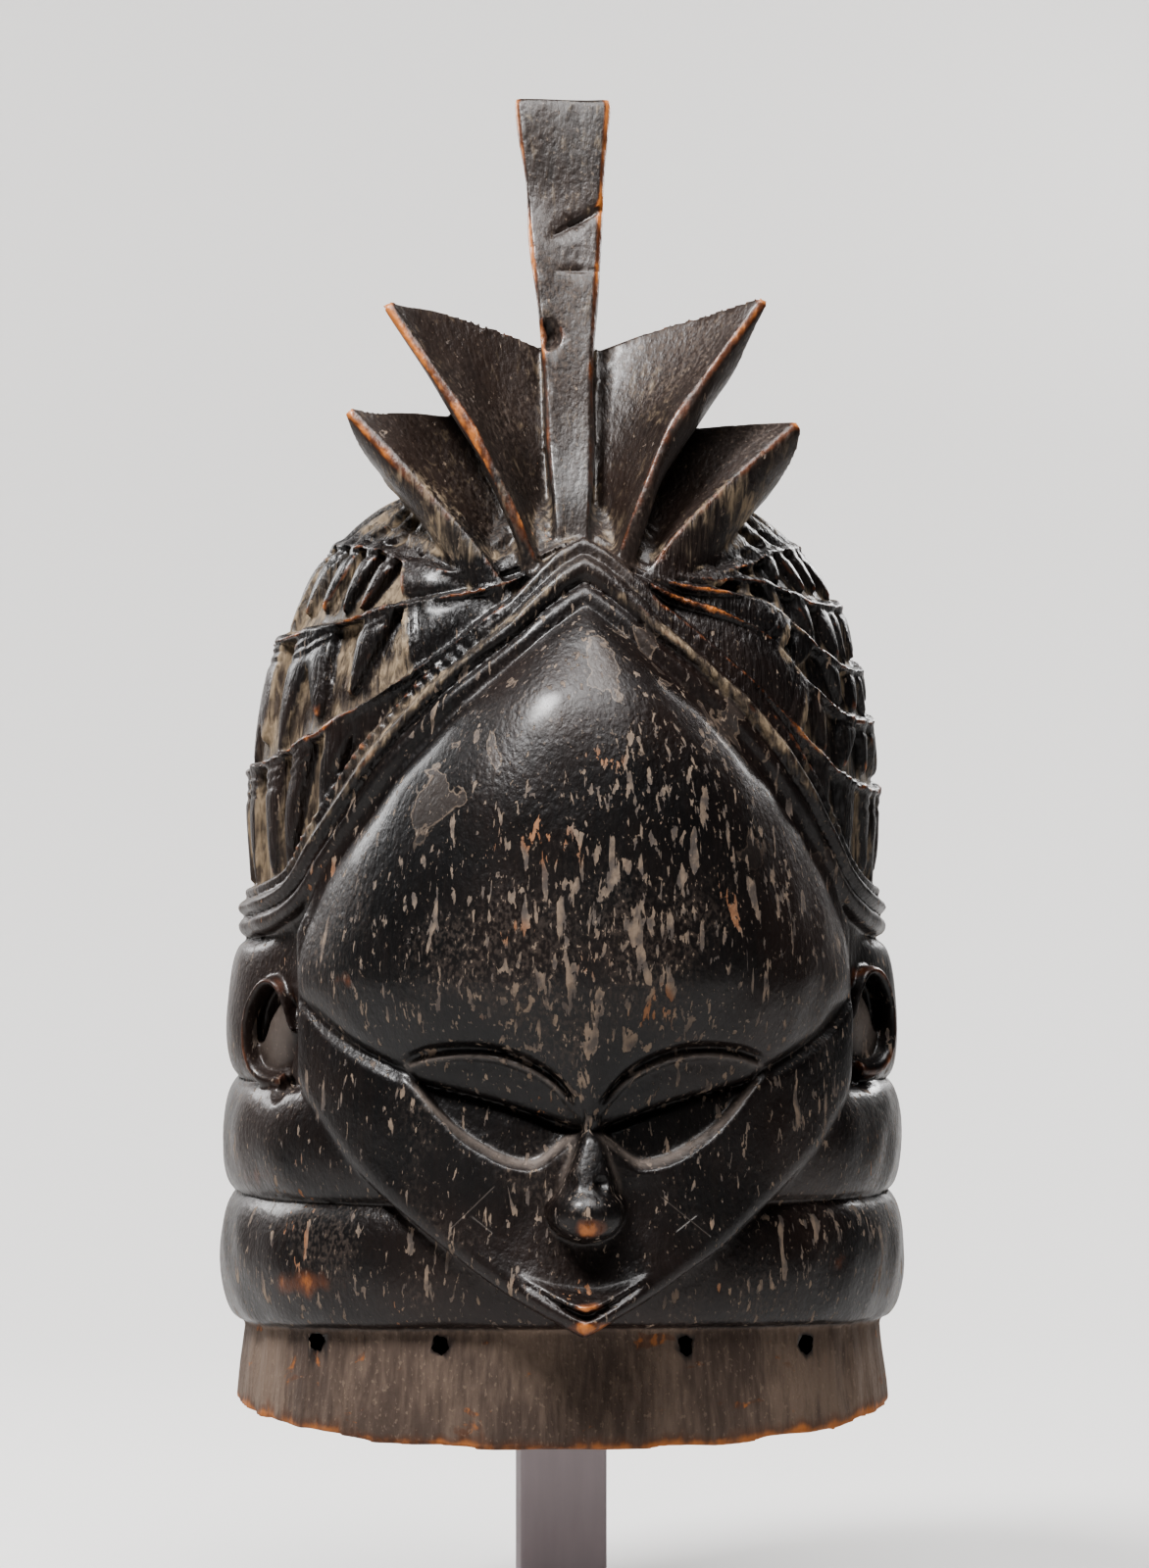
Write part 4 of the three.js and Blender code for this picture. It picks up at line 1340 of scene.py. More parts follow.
        way = near - far
        way[:, 1] = 0.0
        way *= (blend(*self.ridge_widths, t) / np.linalg.norm(way, axis=1))[:, None]
        inner_side = []
        for share in self.inner_shares:
            spot = blend(front + way, near, share)
            round_in = math.sin(math.pi * share)
            spot[:, 1] += self.hollow * (1.0 - 0.4 * t) * round_in**0.8
            spot[:, 2] += lines.crown * round_in * t**4
            inner_side.append(spot)
        outer_side = []
        for share in self.outer_shares:
            spot = blend(front - way, far, share)
            spot[:, 0] += lines.side * lines.flank * math.sin(math.pi * share) ** 0.8 * (1.0 - 0.2 * t)
            outer_side.append(spot)
        rings = [front - way, front + way, *inner_side, near, back(near, self.groove_depths)]
        rings += [back(front, self.ridge_depths), back(far, self.groove_depths), far, *outer_side]
        return loft(np.stack(rings, axis=1), self.wing_rows - 1)

    def ridge_share(self, points: Array) -> Array:
        """Mark the wings' ridges and the blade's edges, which hands and wear have rubbed bare.

        Args:
            points: Points of the carving.

        Returns:
            1 on a ridge, falling to 0 beside it and towards its root.
        """
        x, y, z = points.T
        total = np.zeros(len(points))
        high = z > self.foot
        for lines in self.wings:
            ridge = lines.read(lines.ridge, np.linspace(0.0, 1.0, 60))
            across = np.interp(z, ridge[:, 2], ridge[:, 0])
            ahead = np.interp(z, ridge[:, 2], ridge[:, 1])
            apart = np.hypot(x - across, (y - ahead) * 0.6)
            along = np.clip((z - ridge[0, 2]) / (ridge[-1, 2] - ridge[0, 2]), 0.0, 1.0)
            worn = bump(apart, 0.0, self.ridge_half) * blend(*self.ridge_wear, along**1.3)
            total = np.maximum(total, worn * high)
        beside = np.abs(x - self.shift) - self.curve("half_width")(z)
        apart = np.hypot(beside, (y - self.curve("front")(z) - 0.6) * 0.7)
        edges = bump(apart, 0.0, self.edge_half) * blend(*self.edge_wear, smooth_step(z, 300.0, 400.0))
        return np.maximum(total, edges * high)

    def share(self, points: Array) -> Array:
        """Give 1 on the crest and 0 on the head, with a short blend between."""
        x, y, z = points.T
        root = np.abs(x) < self.root_half + np.maximum(z - self.foot, 0.0)
        share = smooth_step(z, self.foot, self.foot + 10.0) * root * (y < 10.0)
        return np.maximum(share, smooth_step(z, 300.0, 306.0))

    def build(self) -> list[Shell]:
        """Make the crest's shells: the blade and its four wings."""
        return [self.blade(), *(self.wing(lines) for lines in self.wings)]


@dataclass(frozen=True)
class Dent(Oval):
    """A knot hole or knock: an oval pit seen from the front."""

    depth: float

    def pressed(self, points: Array) -> Array:
        """Give how deep each point is pressed in."""
        return self.depth * self.share(points)


@dataclass(frozen=True)
class Split:
    """A crack seen from the front, from one place to another, widest in its middle."""

    start: Pair
    end: Pair
    half_width: float
    depth: float

    def pressed(self, points: Array) -> Array:
        """Give how deep each point is pressed in."""
        start, end = np.array(self.start), np.array(self.end)
        way = end - start
        share = np.clip((points[:, [0, 2]] - start) @ way / (way @ way), 0.0, 1.0)
        apart = np.linalg.norm(points[:, [0, 2]] - start - share[:, None] * way, axis=1)
        return self.depth * bump(apart, 0.0, self.half_width) * (1.0 - 0.5 * np.abs(2.0 * share - 1.0))


@dataclass(frozen=True)
class Hollow:
    """What is cut out of the carving: the room for the wearer's head, and the tie holes."""

    form: HeadForm
    half_width: float = 94.0
    front: float = 91.0
    back: float = 104.0
    levels: tuple[Spot, ...] = (
        (-30, 1.02, 0), (-1, 1.02, 0), (30, 0.99, 0), (90, 0.96, 6), (130, 0.95, 11), (170, 0.94, 11),
        (205, 0.92, 6), (232, 0.85, 2), (254, 0.73, -2), (271, 0.55, -4),
    )  # fmt: skip
    ceiling: float = 284.0
    ceiling_radius: float = 26.0
    adze_marks: float = 0.7
    holes: Pairs = ((-82.9, 24.4), (-44.6, 26.1), (32.1, 26.0), (72.7, 23.5))
    back_height: float = 16.0
    collar: Spot = (107.0, 104.0, 114.0)
    hole_size: float = 2.9
    hole_length: float = 80.0
    hole_sides: int = 13
    rough_across: Pair = (0.6, 1.1)
    rough_upright: Pair = (0.75, 1.3)
    rows: int = 60
    round_points: int = 120

    def room(self) -> Shell:
        """Skin the cavity from its levels, with a flat ceiling where the post stands."""
        heights, shares, shifts = np.array(self.levels, float).T
        z = np.linspace(heights[0], heights[-1], self.rows)
        angle = np.linspace(-math.pi, math.pi, self.round_points, endpoint=False)
        rings = []
        reaches = (Profile.through(heights, sizes)(z) for sizes in (shares, shifts))
        for level, share, ahead in zip(z, *reaches):
            sizes = (self.half_width * share, self.front * share + ahead, self.back * share)
            ring = self.form.section(angle, *sizes, level)
            marks = self.adze_marks * np.sin(9.0 * angle + 0.11 * level) * np.sin(0.21 * level)
            ring[:, :2] *= 1.0 - np.abs(marks)[:, None] / self.half_width
            rings.append(ring)
        for below, narrower in ((0.02, 0.0), (0.0, 0.5)):
            radius = self.ceiling_radius - narrower
            rings.append(self.form.section(angle, radius, radius, radius, self.ceiling - below))
        return loft(np.stack(rings), len(rings) - 1)

    def hole(self, x: float, z: float, y: float, seed: int) -> Shell:
        """Make the rough, many-sided bar that cuts one tie hole along Y.

        Args:
            x: Where the hole is across the mask.
            z: Its height.
            y: The middle of the bar.
            seed: Seed of its roughness.

        Returns:
            The closed bar.
        """
        rng = np.random.default_rng(seed)
        bar = bmesh.new()
        sizes = {"radius1": self.hole_size, "radius2": self.hole_size, "depth": self.hole_length}
        bmesh.ops.create_cone(bar, cap_ends=True, segments=self.hole_sides, **sizes)
        turned = Matrix.Rotation(math.radians(90.0), 3, "X")
        bmesh.ops.rotate(bar, cent=(0, 0, 0), matrix=turned, verts=bar.verts[:])
        for vertex in bar.verts:
            vertex.co.x *= rng.uniform(*self.rough_across)
            vertex.co.z *= rng.uniform(*self.rough_upright)
        bmesh.ops.translate(bar, vec=(x, y, z), verts=bar.verts[:])
        return bar

    def build(self) -> list[Shell]:
        """Make all that is cut out."""
        cuts = [self.room()]
        half, front, back = self.collar
        for n, (x, z) in enumerate(self.holes):
            reach = float(self.form.front_share(np.array([x]), half)[0])
            cuts.append(self.hole(x, z, -front * reach, 10 + n))
            cuts.append(self.hole(x, self.back_height, back * reach, 20 + n))
        return cuts


class Detail(Enum):
    """How finely the carving is made: share of the grids, the remesh's voxel in mm, and triangles."""

    QUICK = (0.5, 1.8, 60_000)
    FULL = (1.0, 0.85, 178_000)

    @property
    def fineness(self) -> float:
        """Give the share of the full grids."""
        return self.value[0]

    @property
    def voxel(self) -> float:
        """Give the voxel's side in millimetres."""
        return self.value[1]

    @property
    def triangles(self) -> int:
        """Give the number of triangles before the hollow is cut."""
        return self.value[2]


@dataclass(frozen=True)
class Patch(Oval):
    """A soft oval region on the mask's front, for wear."""

    strength: float = 1.0

    def wear(self, points: Array) -> Array:
        """Give the region's strength at each point."""
        return self.strength * self.share(points) * smooth_step(-points[:, 1], 20.0, 40.0)


@dataclass
class CarvedMask:
    """The whole carving, fused to one mesh and hollowed."""

    detail: Detail
    form: HeadForm = field(default_factory=HeadForm)
    neck: Neck = field(default_factory=Neck)
    hair: Hair = field(default_factory=Hair)
    crest: Crest = field(default_factory=Crest)
    ears: tuple[Ear, ...] = (Ear(-1), Ear(1))
    sharp_degrees: float = 62.0
    unevenness: float = 0.3
    waves: tuple[float, ...] = (17.0, 29.0, 53.0)
    seed: int = 7
    edge_blur: float = 3.4
    wide_blur: float = 12.0
    edge_marks: Pair = (0.1, 0.45)
    crevice_marks: Pair = (0.25, 1.9)
    rim_marks: Pair = (0.5, 6.0)
    collar_marks: Pair = (-0.8, 0.2)
    ground_marks: Pair = (2.4, 4.2)
    seam_fade: float = 3.0
    crown_dust: float = 0.8
    # share of pale film and painted highlight on the ears' tongues
    tongue_film_and_highlight: float = 0.7
    ring_wear: float = 0.5
    damage: tuple[Dent | Split, ...] = (
        Dent(-7.6, 349.3, 4.6, 6.4, 5.2),
        Split((-6.0, 383.4), (10.5, 392.9), 1.5, 1.7),
        Split((-4.4, 371.2), (8.0, 371.4), 1.2, 0.8),
        Dent(3.0, 375.0, 7.0, 6.0, 0.5),
    )
    flaked: tuple[Patch, ...] = (
        Patch(8.0, 150.0, 95.0, 64.0, 0.85),
        Patch(0.5, 150.0, 7.0, 50.0, 0.35),
        Patch(30.0, 205.0, 30.0, 40.0, 0.45),
        Patch(74.0, 101.0, 22.0, 24.0, 0.7),
        Patch(86.0, 62.0, 40.0, 12.0, 0.8),
        Patch(70.0, 46.0, 34.0, 14.0, 0.45),
        Patch(-84.0, 46.0, 34.0, 14.0, 0.35),
    )
    rubbed: tuple[Patch, ...] = (
        Patch(0.0, 66.0, 9.5, 5.5, 1.0),
        Patch(0.0, 41.5, 8.5, 2.6, 0.9),
        Patch(0.0, 35.0, 13.0, 3.4, 1.0),
        Patch(-74.0, 139.0, 9.0, 6.0, 0.6),
        Patch(-86.0, 44.0, 26.0, 9.0, 0.60),
        Patch(82.0, 50.0, 10.0, 8.0, 0.50),
        Patch(-44.0, 60.0, 10.0, 8.0, 0.35),
        Patch(-101.0, 76.0, 14.0, 8.0, 0.4),
        Patch(-15.0, 127.0, 6.0, 5.0, 0.4),
    )

    @property
    def face(self) -> FacePlate:
        """Give the face, on the mask's own form."""
        return FacePlate(self.form)

    def fused(self) -> Piece:
        """Join every shell of the carving and remesh them into one skin."""
        fine = self.detail.fineness
        head = Head(self.form, self.neck, self.hair, self.ears)
        shells = [head.build(fine), self.face.build(fine)]
        shells += [*Headband(self.form, self.hair).build(fine), *self.crest.build()]
        shells += [ear.build() for ear in self.ears]
        piece = gather("mask_carving", shells)
        remesh = piece.modifiers.new("fuse", "REMESH")
        remesh.mode = "VOXEL"
        remesh.voxel_size = self.detail.voxel * METRES
        soften = piece.modifiers.new("soften", "SMOOTH")
        soften.factor = 0.5
        soften.iterations = 2
        bake_modifiers(piece)
        return piece

    def roughened(self, piece: Piece) -> None:
        """Give the skin its unevenness and its damage, and keep it inside the solid mask's box."""
        places = corners_of(piece.data)
        normals = corners_of(piece.data, "normal")
        out = self.unevenness * hand_unevenness(places / METRES, self.waves, self.seed)
        points = in_mask(places)
        forward = smooth_step(-normals[:, 1], 0.1, 0.6)
        for knock in self.damage:
            out -= knock.pressed(points) * forward
        places += normals * (out * METRES)[:, None]
        low, high = places.min(axis=0), places.max(axis=0)
        solid_low, solid_high = (np.array(corner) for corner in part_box("mask"))
        new_low, new_high = np.maximum(low, solid_low + SLIVER), np.minimum(high, solid_high - SLIVER)
        places = new_low + (places - low) * (new_high - new_low) / (high - low)
        piece.data.vertices.foreach_set("co", places.ravel())
        piece.data.update()

    def blurred(self, piece: Piece, reach: float) -> Array:
        """Give the places of a piece's vertices smoothed over a reach in millimetres."""
        blur = piece.modifiers.new("blur", "SMOOTH")
        blur.factor = 0.5
        blur.iterations = round((reach / self.detail.voxel) ** 2)
        bpy.context.view_layer.update()
        shape = piece.evaluated_get(bpy.context.evaluated_depsgraph_get()).to_mesh()
        places = corners_of(shape)
        piece.to_mesh_clear()
        piece.modifiers.clear()
        return places

    def stands_out(self, piece: Piece, reach: float) -> Array:
        """Give how far each vertex stands out from the piece smoothed over a reach, in millimetres."""
        places, normals = corners_of(piece.data), corners_of(piece.data, "normal")
        return np.einsum("ij,ij->i", places - self.blurred(piece, reach), normals) / METRES

    def film_and_highlight_on(self, points: Array) -> Array:
        """Give where a pale film and painted highlight lie: on the lids' upward rims, the brows' rims, the
        bridge's edges and the ears' tongues.
        """
        x, y, z = points.T
        far = np.abs(x)
        # The lids' bevels, the brows' rims and the bridge's edges face up, so their pale colour is painted
        # highlight as well as film
        lids = bump(z, self.face.lid_low(far) - 1.3, 2.0) * window(far, (3.0, 6.0), (50.0, 56.0))
        brows = 0.7 * bump(z, self.face.brow(far) - 0.8, 1.4) * smooth_step(far, 5.0, 10.0) * (far < 56.0)
        bridge = 0.5 * bump(np.abs(x - 0.5), self.face.bridge_half(z), 1.4) * bump(z, 84.0, 12.0)
        film_and_highlight = np.clip(lids + brows + bridge, 0.0, 1.0) * smooth_step(-y, 60.0, 75.0)
        tongue = np.zeros(len(x))
        for ear in self.ears:
            own_x, own_z, deep = ear.own(points)
            near = 1.0 - smooth_step(np.hypot(own_x, own_z), 0.55, 0.85)
            tongue = np.maximum(tongue, near * bump(deep, -2.0, 12.0))
        return film_and_highlight + self.tongue_film_and_highlight * tongue

    def rubbed_on(self, points: Array) -> Array:
        """Give where the black is rubbed through: in patches, on the ears' rims and the crest's ridges."""
        ring = np.zeros(len(points))
        for ear in self.ears:
            own_x, own_z, deep = ear.own(points)
            ring = np.maximum(ring, bump(np.hypot(own_x, own_z), 1.08, 0.3) * bump(deep, -1.0, 8.0))
        patches = sum(patch.wear(points) for patch in self.rubbed)
        return patches + self.ring_wear * ring + self.crest.ridge_share(points)

    def mark_wear(self, piece: Piece) -> None:
        """Store where the carving stands out, where it is sunk, what each place is, and where a pale film and
        painted highlight lie.
        """
        fine = self.stands_out(piece, self.edge_blur)
        wide = self.stands_out(piece, self.wide_blur)
        points = in_mask(corners_of(piece.data))
        x, y, z = points.T
        angle = np.arctan2(x, -y)
        turned = np.degrees(np.abs(angle))
        crease = self.neck.creases[0].level(angle)
        crest = self.crest.share(points)
        seam = self.hair.band(turned) + self.hair.band_width
        haired = smooth_step(z, seam, seam + self.seam_fade) * (1.0 - crest)
        ground = smooth_step(-self.hair.relief(np.degrees(angle), z), *self.ground_marks)
        cord = self.hair.cord_high(turned)
        crown = self.crown_dust * smooth_step(z, cord, cord + self.seam_fade)
        marks = {
            "edge": smooth_step(fine, *self.edge_marks),
            "rim": 1.0 - smooth_step(z - self.neck.rim_line(angle), *self.rim_marks),
            "crevice": smooth_step(-wide, *self.crevice_marks),
            "collar": 1.0 - smooth_step(z, *(crease + step for step in self.collar_marks)),
            "hair": haired,
            "crest": crest,
            "flaky": sum(patch.wear(points) for patch in self.flaked),
            # pale film, and painted highlight on the rims that face up
            "film_and_highlight": self.film_and_highlight_on(points),
            "rubbed": self.rubbed_on(points),
            "ground": np.maximum(ground, crown) * haired,
        }
        for name, values in marks.items():
            put_attribute(piece.data, name, np.clip(values, 0.0, 1.0))

    def build(self, wood: bpy.types.Material) -> Piece:
        """Make the finished carving.

        Args:
            wood: Its finish.

        Returns:
            The carving, in the scene.
        """
        piece = self.fused()
        self.roughened(piece)
        self.mark_wear(piece)
        thin = piece.modifiers.new("thin", "DECIMATE")
        thin.ratio = min(1.0, self.detail.triangles / (2.0 * len(piece.data.polygons)))
        bake_modifiers(piece)
        cutter = gather("hollow", Hollow(self.form).build())
        cut = piece.modifiers.new("hollow", "BOOLEAN")
        cut.operation = "DIFFERENCE"
        cut.solver = "MANIFOLD"
        cut.object = cutter
        bake_modifiers(piece)
        bpy.data.objects.remove(cutter)
        piece.data.materials.clear()
        piece.data.materials.append(wood)
        piece.data.shade_smooth()
        piece.data.set_sharp_from_angle(angle=math.radians(self.sharp_degrees))
        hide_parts("mask")
        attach(piece, "root")
        log.info("carved mask: %d faces", len(piece.data.polygons))
        return piece


# Finishes


class Value:
    """A shader socket whose arithmetic adds Math nodes."""

    def __init__(self, graph: "Graph", socket: Socket) -> None:
        """Wrap a socket of a graph."""
        self.graph = graph
        self.socket = socket

    def __add__(self, other: "Value | float") -> "Value":
        """Add."""
        return self.graph.maths("ADD", self, other)

    __radd__ = __add__

    def __sub__(self, other: "Value | float") -> "Value":
        """Take away."""
        return self.graph.maths("SUBTRACT", self, other)

    def __rsub__(self, other: float) -> "Value":
        """Take this away from a number."""
        return self.graph.maths("SUBTRACT", other, self)

    def __mul__(self, other: "Value | float") -> "Value":
        """Multiply."""
        return self.graph.maths("MULTIPLY", self, other)

    __rmul__ = __mul__

    def clamped(self) -> "Value":
        """Keep between 0 and 1."""
        return self.graph.maths("MAXIMUM", self.graph.maths("MINIMUM", self, 1.0), 0.0)


Colour = tuple[float, float, float]


@dataclass(frozen=True)
class Noise:
    """Noise over a piece.

    scale is in waves a metre and detail in octaves. across and upright are how much tighter it runs level
    and upright, shift moves the pattern so that no two are alike, and bend distorts its waves.
    """

    scale: float
    detail: float
    across: float = 1.0
    upright: float = 1.0
    shift: float = 0.0
    bend: float = 0.0


class Graph:
    """The node graph of one material."""

    def __init__(self, name: str) -> None:
        """Make a material with an empty graph."""
        self.material = bpy.data.materials.new(name)
        self.material.use_nodes = True
        self.nodes = self.material.node_tree.nodes
        self.links = self.material.node_tree.links
        self.nodes.clear()

    def node(self, kind: str, settings: dict | None = None, **inputs: object) -> bpy.types.Node:
        """Add a node.

        Args:
            kind: The node's type, without ShaderNode in front.
            settings: Its settings, which are set first.
            **inputs: Values or links by socket name, with _ for a space, or by place as i0, i1.

        Returns:
            The node.
        """
        made = self.nodes.new("ShaderNode" + kind)
        for name, value in (settings or {}).items():
            setattr(made, name, value)
        for name, value in inputs.items():
            place = int(name[1:]) if name[0] == "i" and name[1:].isdigit() else name.replace("_", " ")
            target = made.inputs[place]
            if isinstance(value, Value):
                value = value.socket
            if isinstance(value, Socket):
                self.links.new(value, target)
            elif isinstance(value, tuple) and len(value) == 3 and target.type == "RGBA":
                target.default_value = (*value, 1.0)
            else:
                target.default_value = value
        return made

    def maths(self, operation: str, *values: Value | float) -> Value:
        """Add a Math node on values."""
        inputs = {f"i{n}": value for n, value in enumerate(values)}
        return Value(self, self.node("Math", {"operation": operation}, **inputs).outputs[0])

    def step(self, value: Value, low: float, high: float) -> Value:
        """Rise smoothly from 0 at low to 1 at high."""
        settings = {"interpolation_type": "SMOOTHSTEP"}
        made = self.node("MapRange", settings, Value=value, From_Min=low, From_Max=high)
        return Value(self, made.outputs["Result"])

    def mixed(self, share: Value | float, first: object, second: object) -> Socket:
        """Mix two colours."""
        made = self.node("Mix", {"data_type": "RGBA"}, i0=share, i6=first, i7=second)
        return made.outputs[2]

    def attribute(self, name: str) -> Value:
        """Read a number stored on the piece."""
        return Value(self, self.node("Attribute", {"attribute_name": name}).outputs["Fac"])

    def place(self) -> Socket:
        """Give the Object coordinates."""
        return self.node("TexCoord").outputs["Object"]

    def axes(self) -> tuple[Value, Value, Value]:
        """Give the Object coordinates as three values."""
        parts = self.node("SeparateXYZ", None, i0=self.place()).outputs
        return Value(self, parts[0]), Value(self, parts[1]), Value(self, parts[2])

    def noise(self, noise: Noise) -> Value:
        """Read noise over the piece, which is about 0.5 on average."""
        stretch = (noise.across, noise.across, noise.upright)
        moved = self.node("Mapping", None, Vector=self.place(), Location=(noise.shift,) * 3, Scale=stretch)
        inputs = {"Scale": noise.scale, "Detail": noise.detail, "Distortion": noise.bend}
        made = self.node("TexNoise", None, Vector=moved.outputs[0], **inputs)
        return Value(self, made.outputs["Fac"])

    def bumped(self, height: Value, distance: float, strength: float) -> Socket:
        """Give a normal bent by a height."""
        return self.node("Bump", None, Height=height, Distance=distance, Strength=strength).outputs[0]

    def finish(self, **inputs: object) -> bpy.types.Material:
        """Add the shader and the output, and give the material."""
        shader = self.node("BsdfPrincipled", None, **inputs)
        output = self.nodes.new("ShaderNodeOutputMaterial")
        self.links.new(shader.outputs[0], output.inputs["Surface"])
        return self.material


@dataclass(frozen=True)
class Scratch:
    """A scratch on the front, from one place to another, in millimetres of the mask's frame."""

    start: Pair
    end: Pair
    half_width: float = 0.45


@dataclass(frozen=True)
class BlackenedWood:
    """Wood blackened with leaf dye and palm oil, rubbed through on its edges and dusty in its hollows, with a
    pale film and painted highlight on the rims that face up.
    """

    black: Colour = (0.0055, 0.0052, 0.0056)
    plum_black: Colour = (0.024, 0.0135, 0.0105)
    scuffed: Colour = (0.075, 0.055, 0.044)
    worn_brown: Colour = (0.105, 0.036, 0.015)
    worn_ochre: Colour = (0.42, 0.165, 0.055)
    flaked_grey: Colour = (0.125, 0.104, 0.092)
    flaked_beige: Colour = (0.24, 0.185, 0.142)
    dust: Colour = (0.29, 0.225, 0.155)
    dust_dark: Colour = (0.105, 0.080, 0.058)
    # Pale film colour, laid on the rims that face up as painted highlight; the scratches use it too
    film_and_highlight: Colour = (0.20, 0.168, 0.148)
    collar: Colour = (0.155, 0.115, 0.090)
    collar_dark: Colour = (0.072, 0.051, 0.041)
    scratches: tuple[Scratch, ...] = (
        Scratch((-41.6, 64.5), (-28.7, 77.3)),
        Scratch((-35.6, 68.1), (-29.4, 63.2)),
        Scratch((22.8, 73.9), (38.3, 61.3)),
        Scratch((27.4, 63.1), (34.0, 67.9)),
    )
    scratch_fade: float = 0.0005
    broad: Noise = Noise(13.0, 4.0)
    grain: Noise = Noise(70.0, 4.0, 8.0, 1.0, 3.0)
    pores: Noise = Noise(430.0, 4.0, 1.0, 0.7, 5.0)
    specks: Noise = Noise(800.0, 2.0, 1.0, 0.7, 6.0)
    worn: Noise = Noise(26.0, 6.0, 1.0, 0.8, 31.0)
    peel: Noise = Noise(46.0, 5.0, 1.0, 0.7, 51.0, 0.5)
    ragged: Noise = Noise(98.0, 6.0, 2.3, 0.58, 1.0, 0.3)
    patchy: Noise = Noise(19.0, 2.0, shift=41.0)
    small: Noise = Noise(260.0, 4.0, 1.8, 0.6, 8.0, 0.3)
    inner: Noise = Noise(330.0, 4.0, 1.0, 0.6, 14.0)
    ochred: Noise = Noise(36.0, 2.0, shift=17.0)
    rub: Noise = Noise(150.0, 5.0, 1.0, 0.5, 2.0)
    dusting: Noise = Noise(60.0, 7.0, shift=9.0)
    fibres: Noise = Noise(150.0, 4.0, 3.2, 0.5, 27.0, 0.8)
    cloudy: Noise = Noise(30.0, 5.0, 1.0, 0.5, 12.0)
    streaks: Noise = Noise(95.0, 4.0, 5.0, 0.8, 22.0)
    scuffing: Noise = Noise(75.0, 5.0, 1.0, 1.7, 15.0, 0.4)
    polish: Noise = Noise(34.0, 4.0, shift=20.0)
    lumps: Noise = Noise(120.0, 5.0, 1.0, 0.8, 25.0)

    def scratched(self, g: Graph, x: Value, z: Value, front: Value) -> Value:
        """Mark the scratches on the cheeks.

        Args:
            g: The material's graph.
            x: Distance across, in metres.
            z: Height in the scene, in metres.
            front: 1 on the mask's front.

        Returns:
            1 in a scratch, 0 elsewhere.
        """
        total = None
        for scratch in self.scratches:
            start = Vector(scratch.start) * METRES + Vector((0.0, MASK_LIFT * METRES))
            way = Vector(scratch.end) * METRES + Vector((0.0, MASK_LIFT * METRES)) - start
            length = way.length
            way.normalize()
            along = (x - start.x) * way.x + (z - start.y) * way.y
            beside = g.maths("ABSOLUTE", (x - start.x) * -way.y + (z - start.y) * way.x)
            fade = self.scratch_fade
            inside = g.step(beside, scratch.half_width * METRES, 0.0) * g.step(along, -fade, fade)
            inside = inside * g.step(along, length + fade, length - fade)
            total = inside if total is None else g.maths("MAXIMUM", total, inside)
        return total * front

    def black_coat(self, g: Graph, grain: Value) -> Socket:
        """Give the black itself, with a plum tint along the grain."""
        tint = g.step(g.noise(self.broad), 0.38, 0.66) * 0.7 + grain * 0.5 - 0.15
        return g.mixed(tint.clamped(), self.black, self.plum_black)

    def peeled(self, g: Graph, colour: Socket, where: Value) -> Socket:
        """Outline the places where the lacquer peels.

        Args:
            g: The material's graph.
            colour: The colour under the outlines.
            where: 1 where the lacquer peels.

        Returns:
            The colour with them.
        """
        peel = g.noise(self.peel)
        outline = g.step(g.maths("ABSOLUTE", peel - 0.585), 0.010, 0.003)
        colour = g.mixed(g.step(peel, 0.583, 0.59) * where * 0.3, colour, self.flaked_grey)
        return g.mixed(outline * where * 0.45, colour, self.flaked_beige)

    def collar_wood(self, g: Graph, rim: Value, inner: Value, specks: Value, rub: Value) -> Socket:
        """Give the collar's brown wood, worn through at the bitten rim.

        Args:
            g: The material's graph.
            rim: 1 at the rim.
            inner: The noise inside flakes.
            specks: The finest noise.
            rub: The noise of rubbed edges.

        Returns:
            The colour.
        """
        cloudy = g.noise(self.cloudy)
        brown = cloudy * 0.65 + g.noise(self.streaks) * 0.35
        colour = g.mixed(g.step(brown, 0.38, 0.62), self.collar_dark, self.collar)
        scuffs = g.step(g.noise(self.scuffing), 0.63, 0.68)
        bitten = rim + (cloudy - 0.5) * 0.9 + (rub - 0.5) * 1.2
        layers = (
            (scuffs * 0.45, self.worn_brown),
            (scuffs * g.step(inner, 0.5, 0.6) * 0.5, self.worn_ochre),
            (g.step(specks, 0.60, 0.70) * 0.35, self.flaked_beige),
            (g.step(bitten, 0.35, 0.9) * 0.45, self.worn_brown),
            (g.step(bitten, 0.72, 1.15) * 0.75, self.worn_ochre),
        )
        for share, over in layers:
            colour = g.mixed(share, colour, over)
        return colour

    def make(self) -> bpy.types.Material:
        """Make the material, layer over layer from the black up."""
        g = Graph("blackened_wood")
        x, y, z = g.axes()
        names = ("edge", "crevice", "collar", "hair", "crest", "flaky", "film_and_highlight", "rubbed", "rim", "ground")
        marks = [g.attribute(name) for name in names]
        edge, crevice, collar, hair, crest, flaky, film_and_highlight, rubbed, rim, ground = marks
        body = 1.0 - collar
        front = g.step(y, -0.02, -0.05)

        grain = g.noise(self.grain)
        pores = g.noise(self.pores)
        specks = g.noise(self.specks)
        colour = self.black_coat(g, grain)

        # Dull scuffs, fewer on the forehead
        worn = g.noise(self.worn)
        abraded = g.step(worn, 0.46, 0.66) * g.step(specks, 0.44, 0.60)
        calm = 1.0 - 0.75 * g.step(z, 0.26, 0.30) * (1.0 - crest)
        colour = g.mixed((abraded * 0.5 * calm + crest * grain * 0.45).clamped(), colour, self.scuffed)

        high_brow = front * g.step(z, 0.265, 0.30) * (1.0 - hair) * (1.0 - crest)
        colour = self.peeled(g, colour, high_brow)

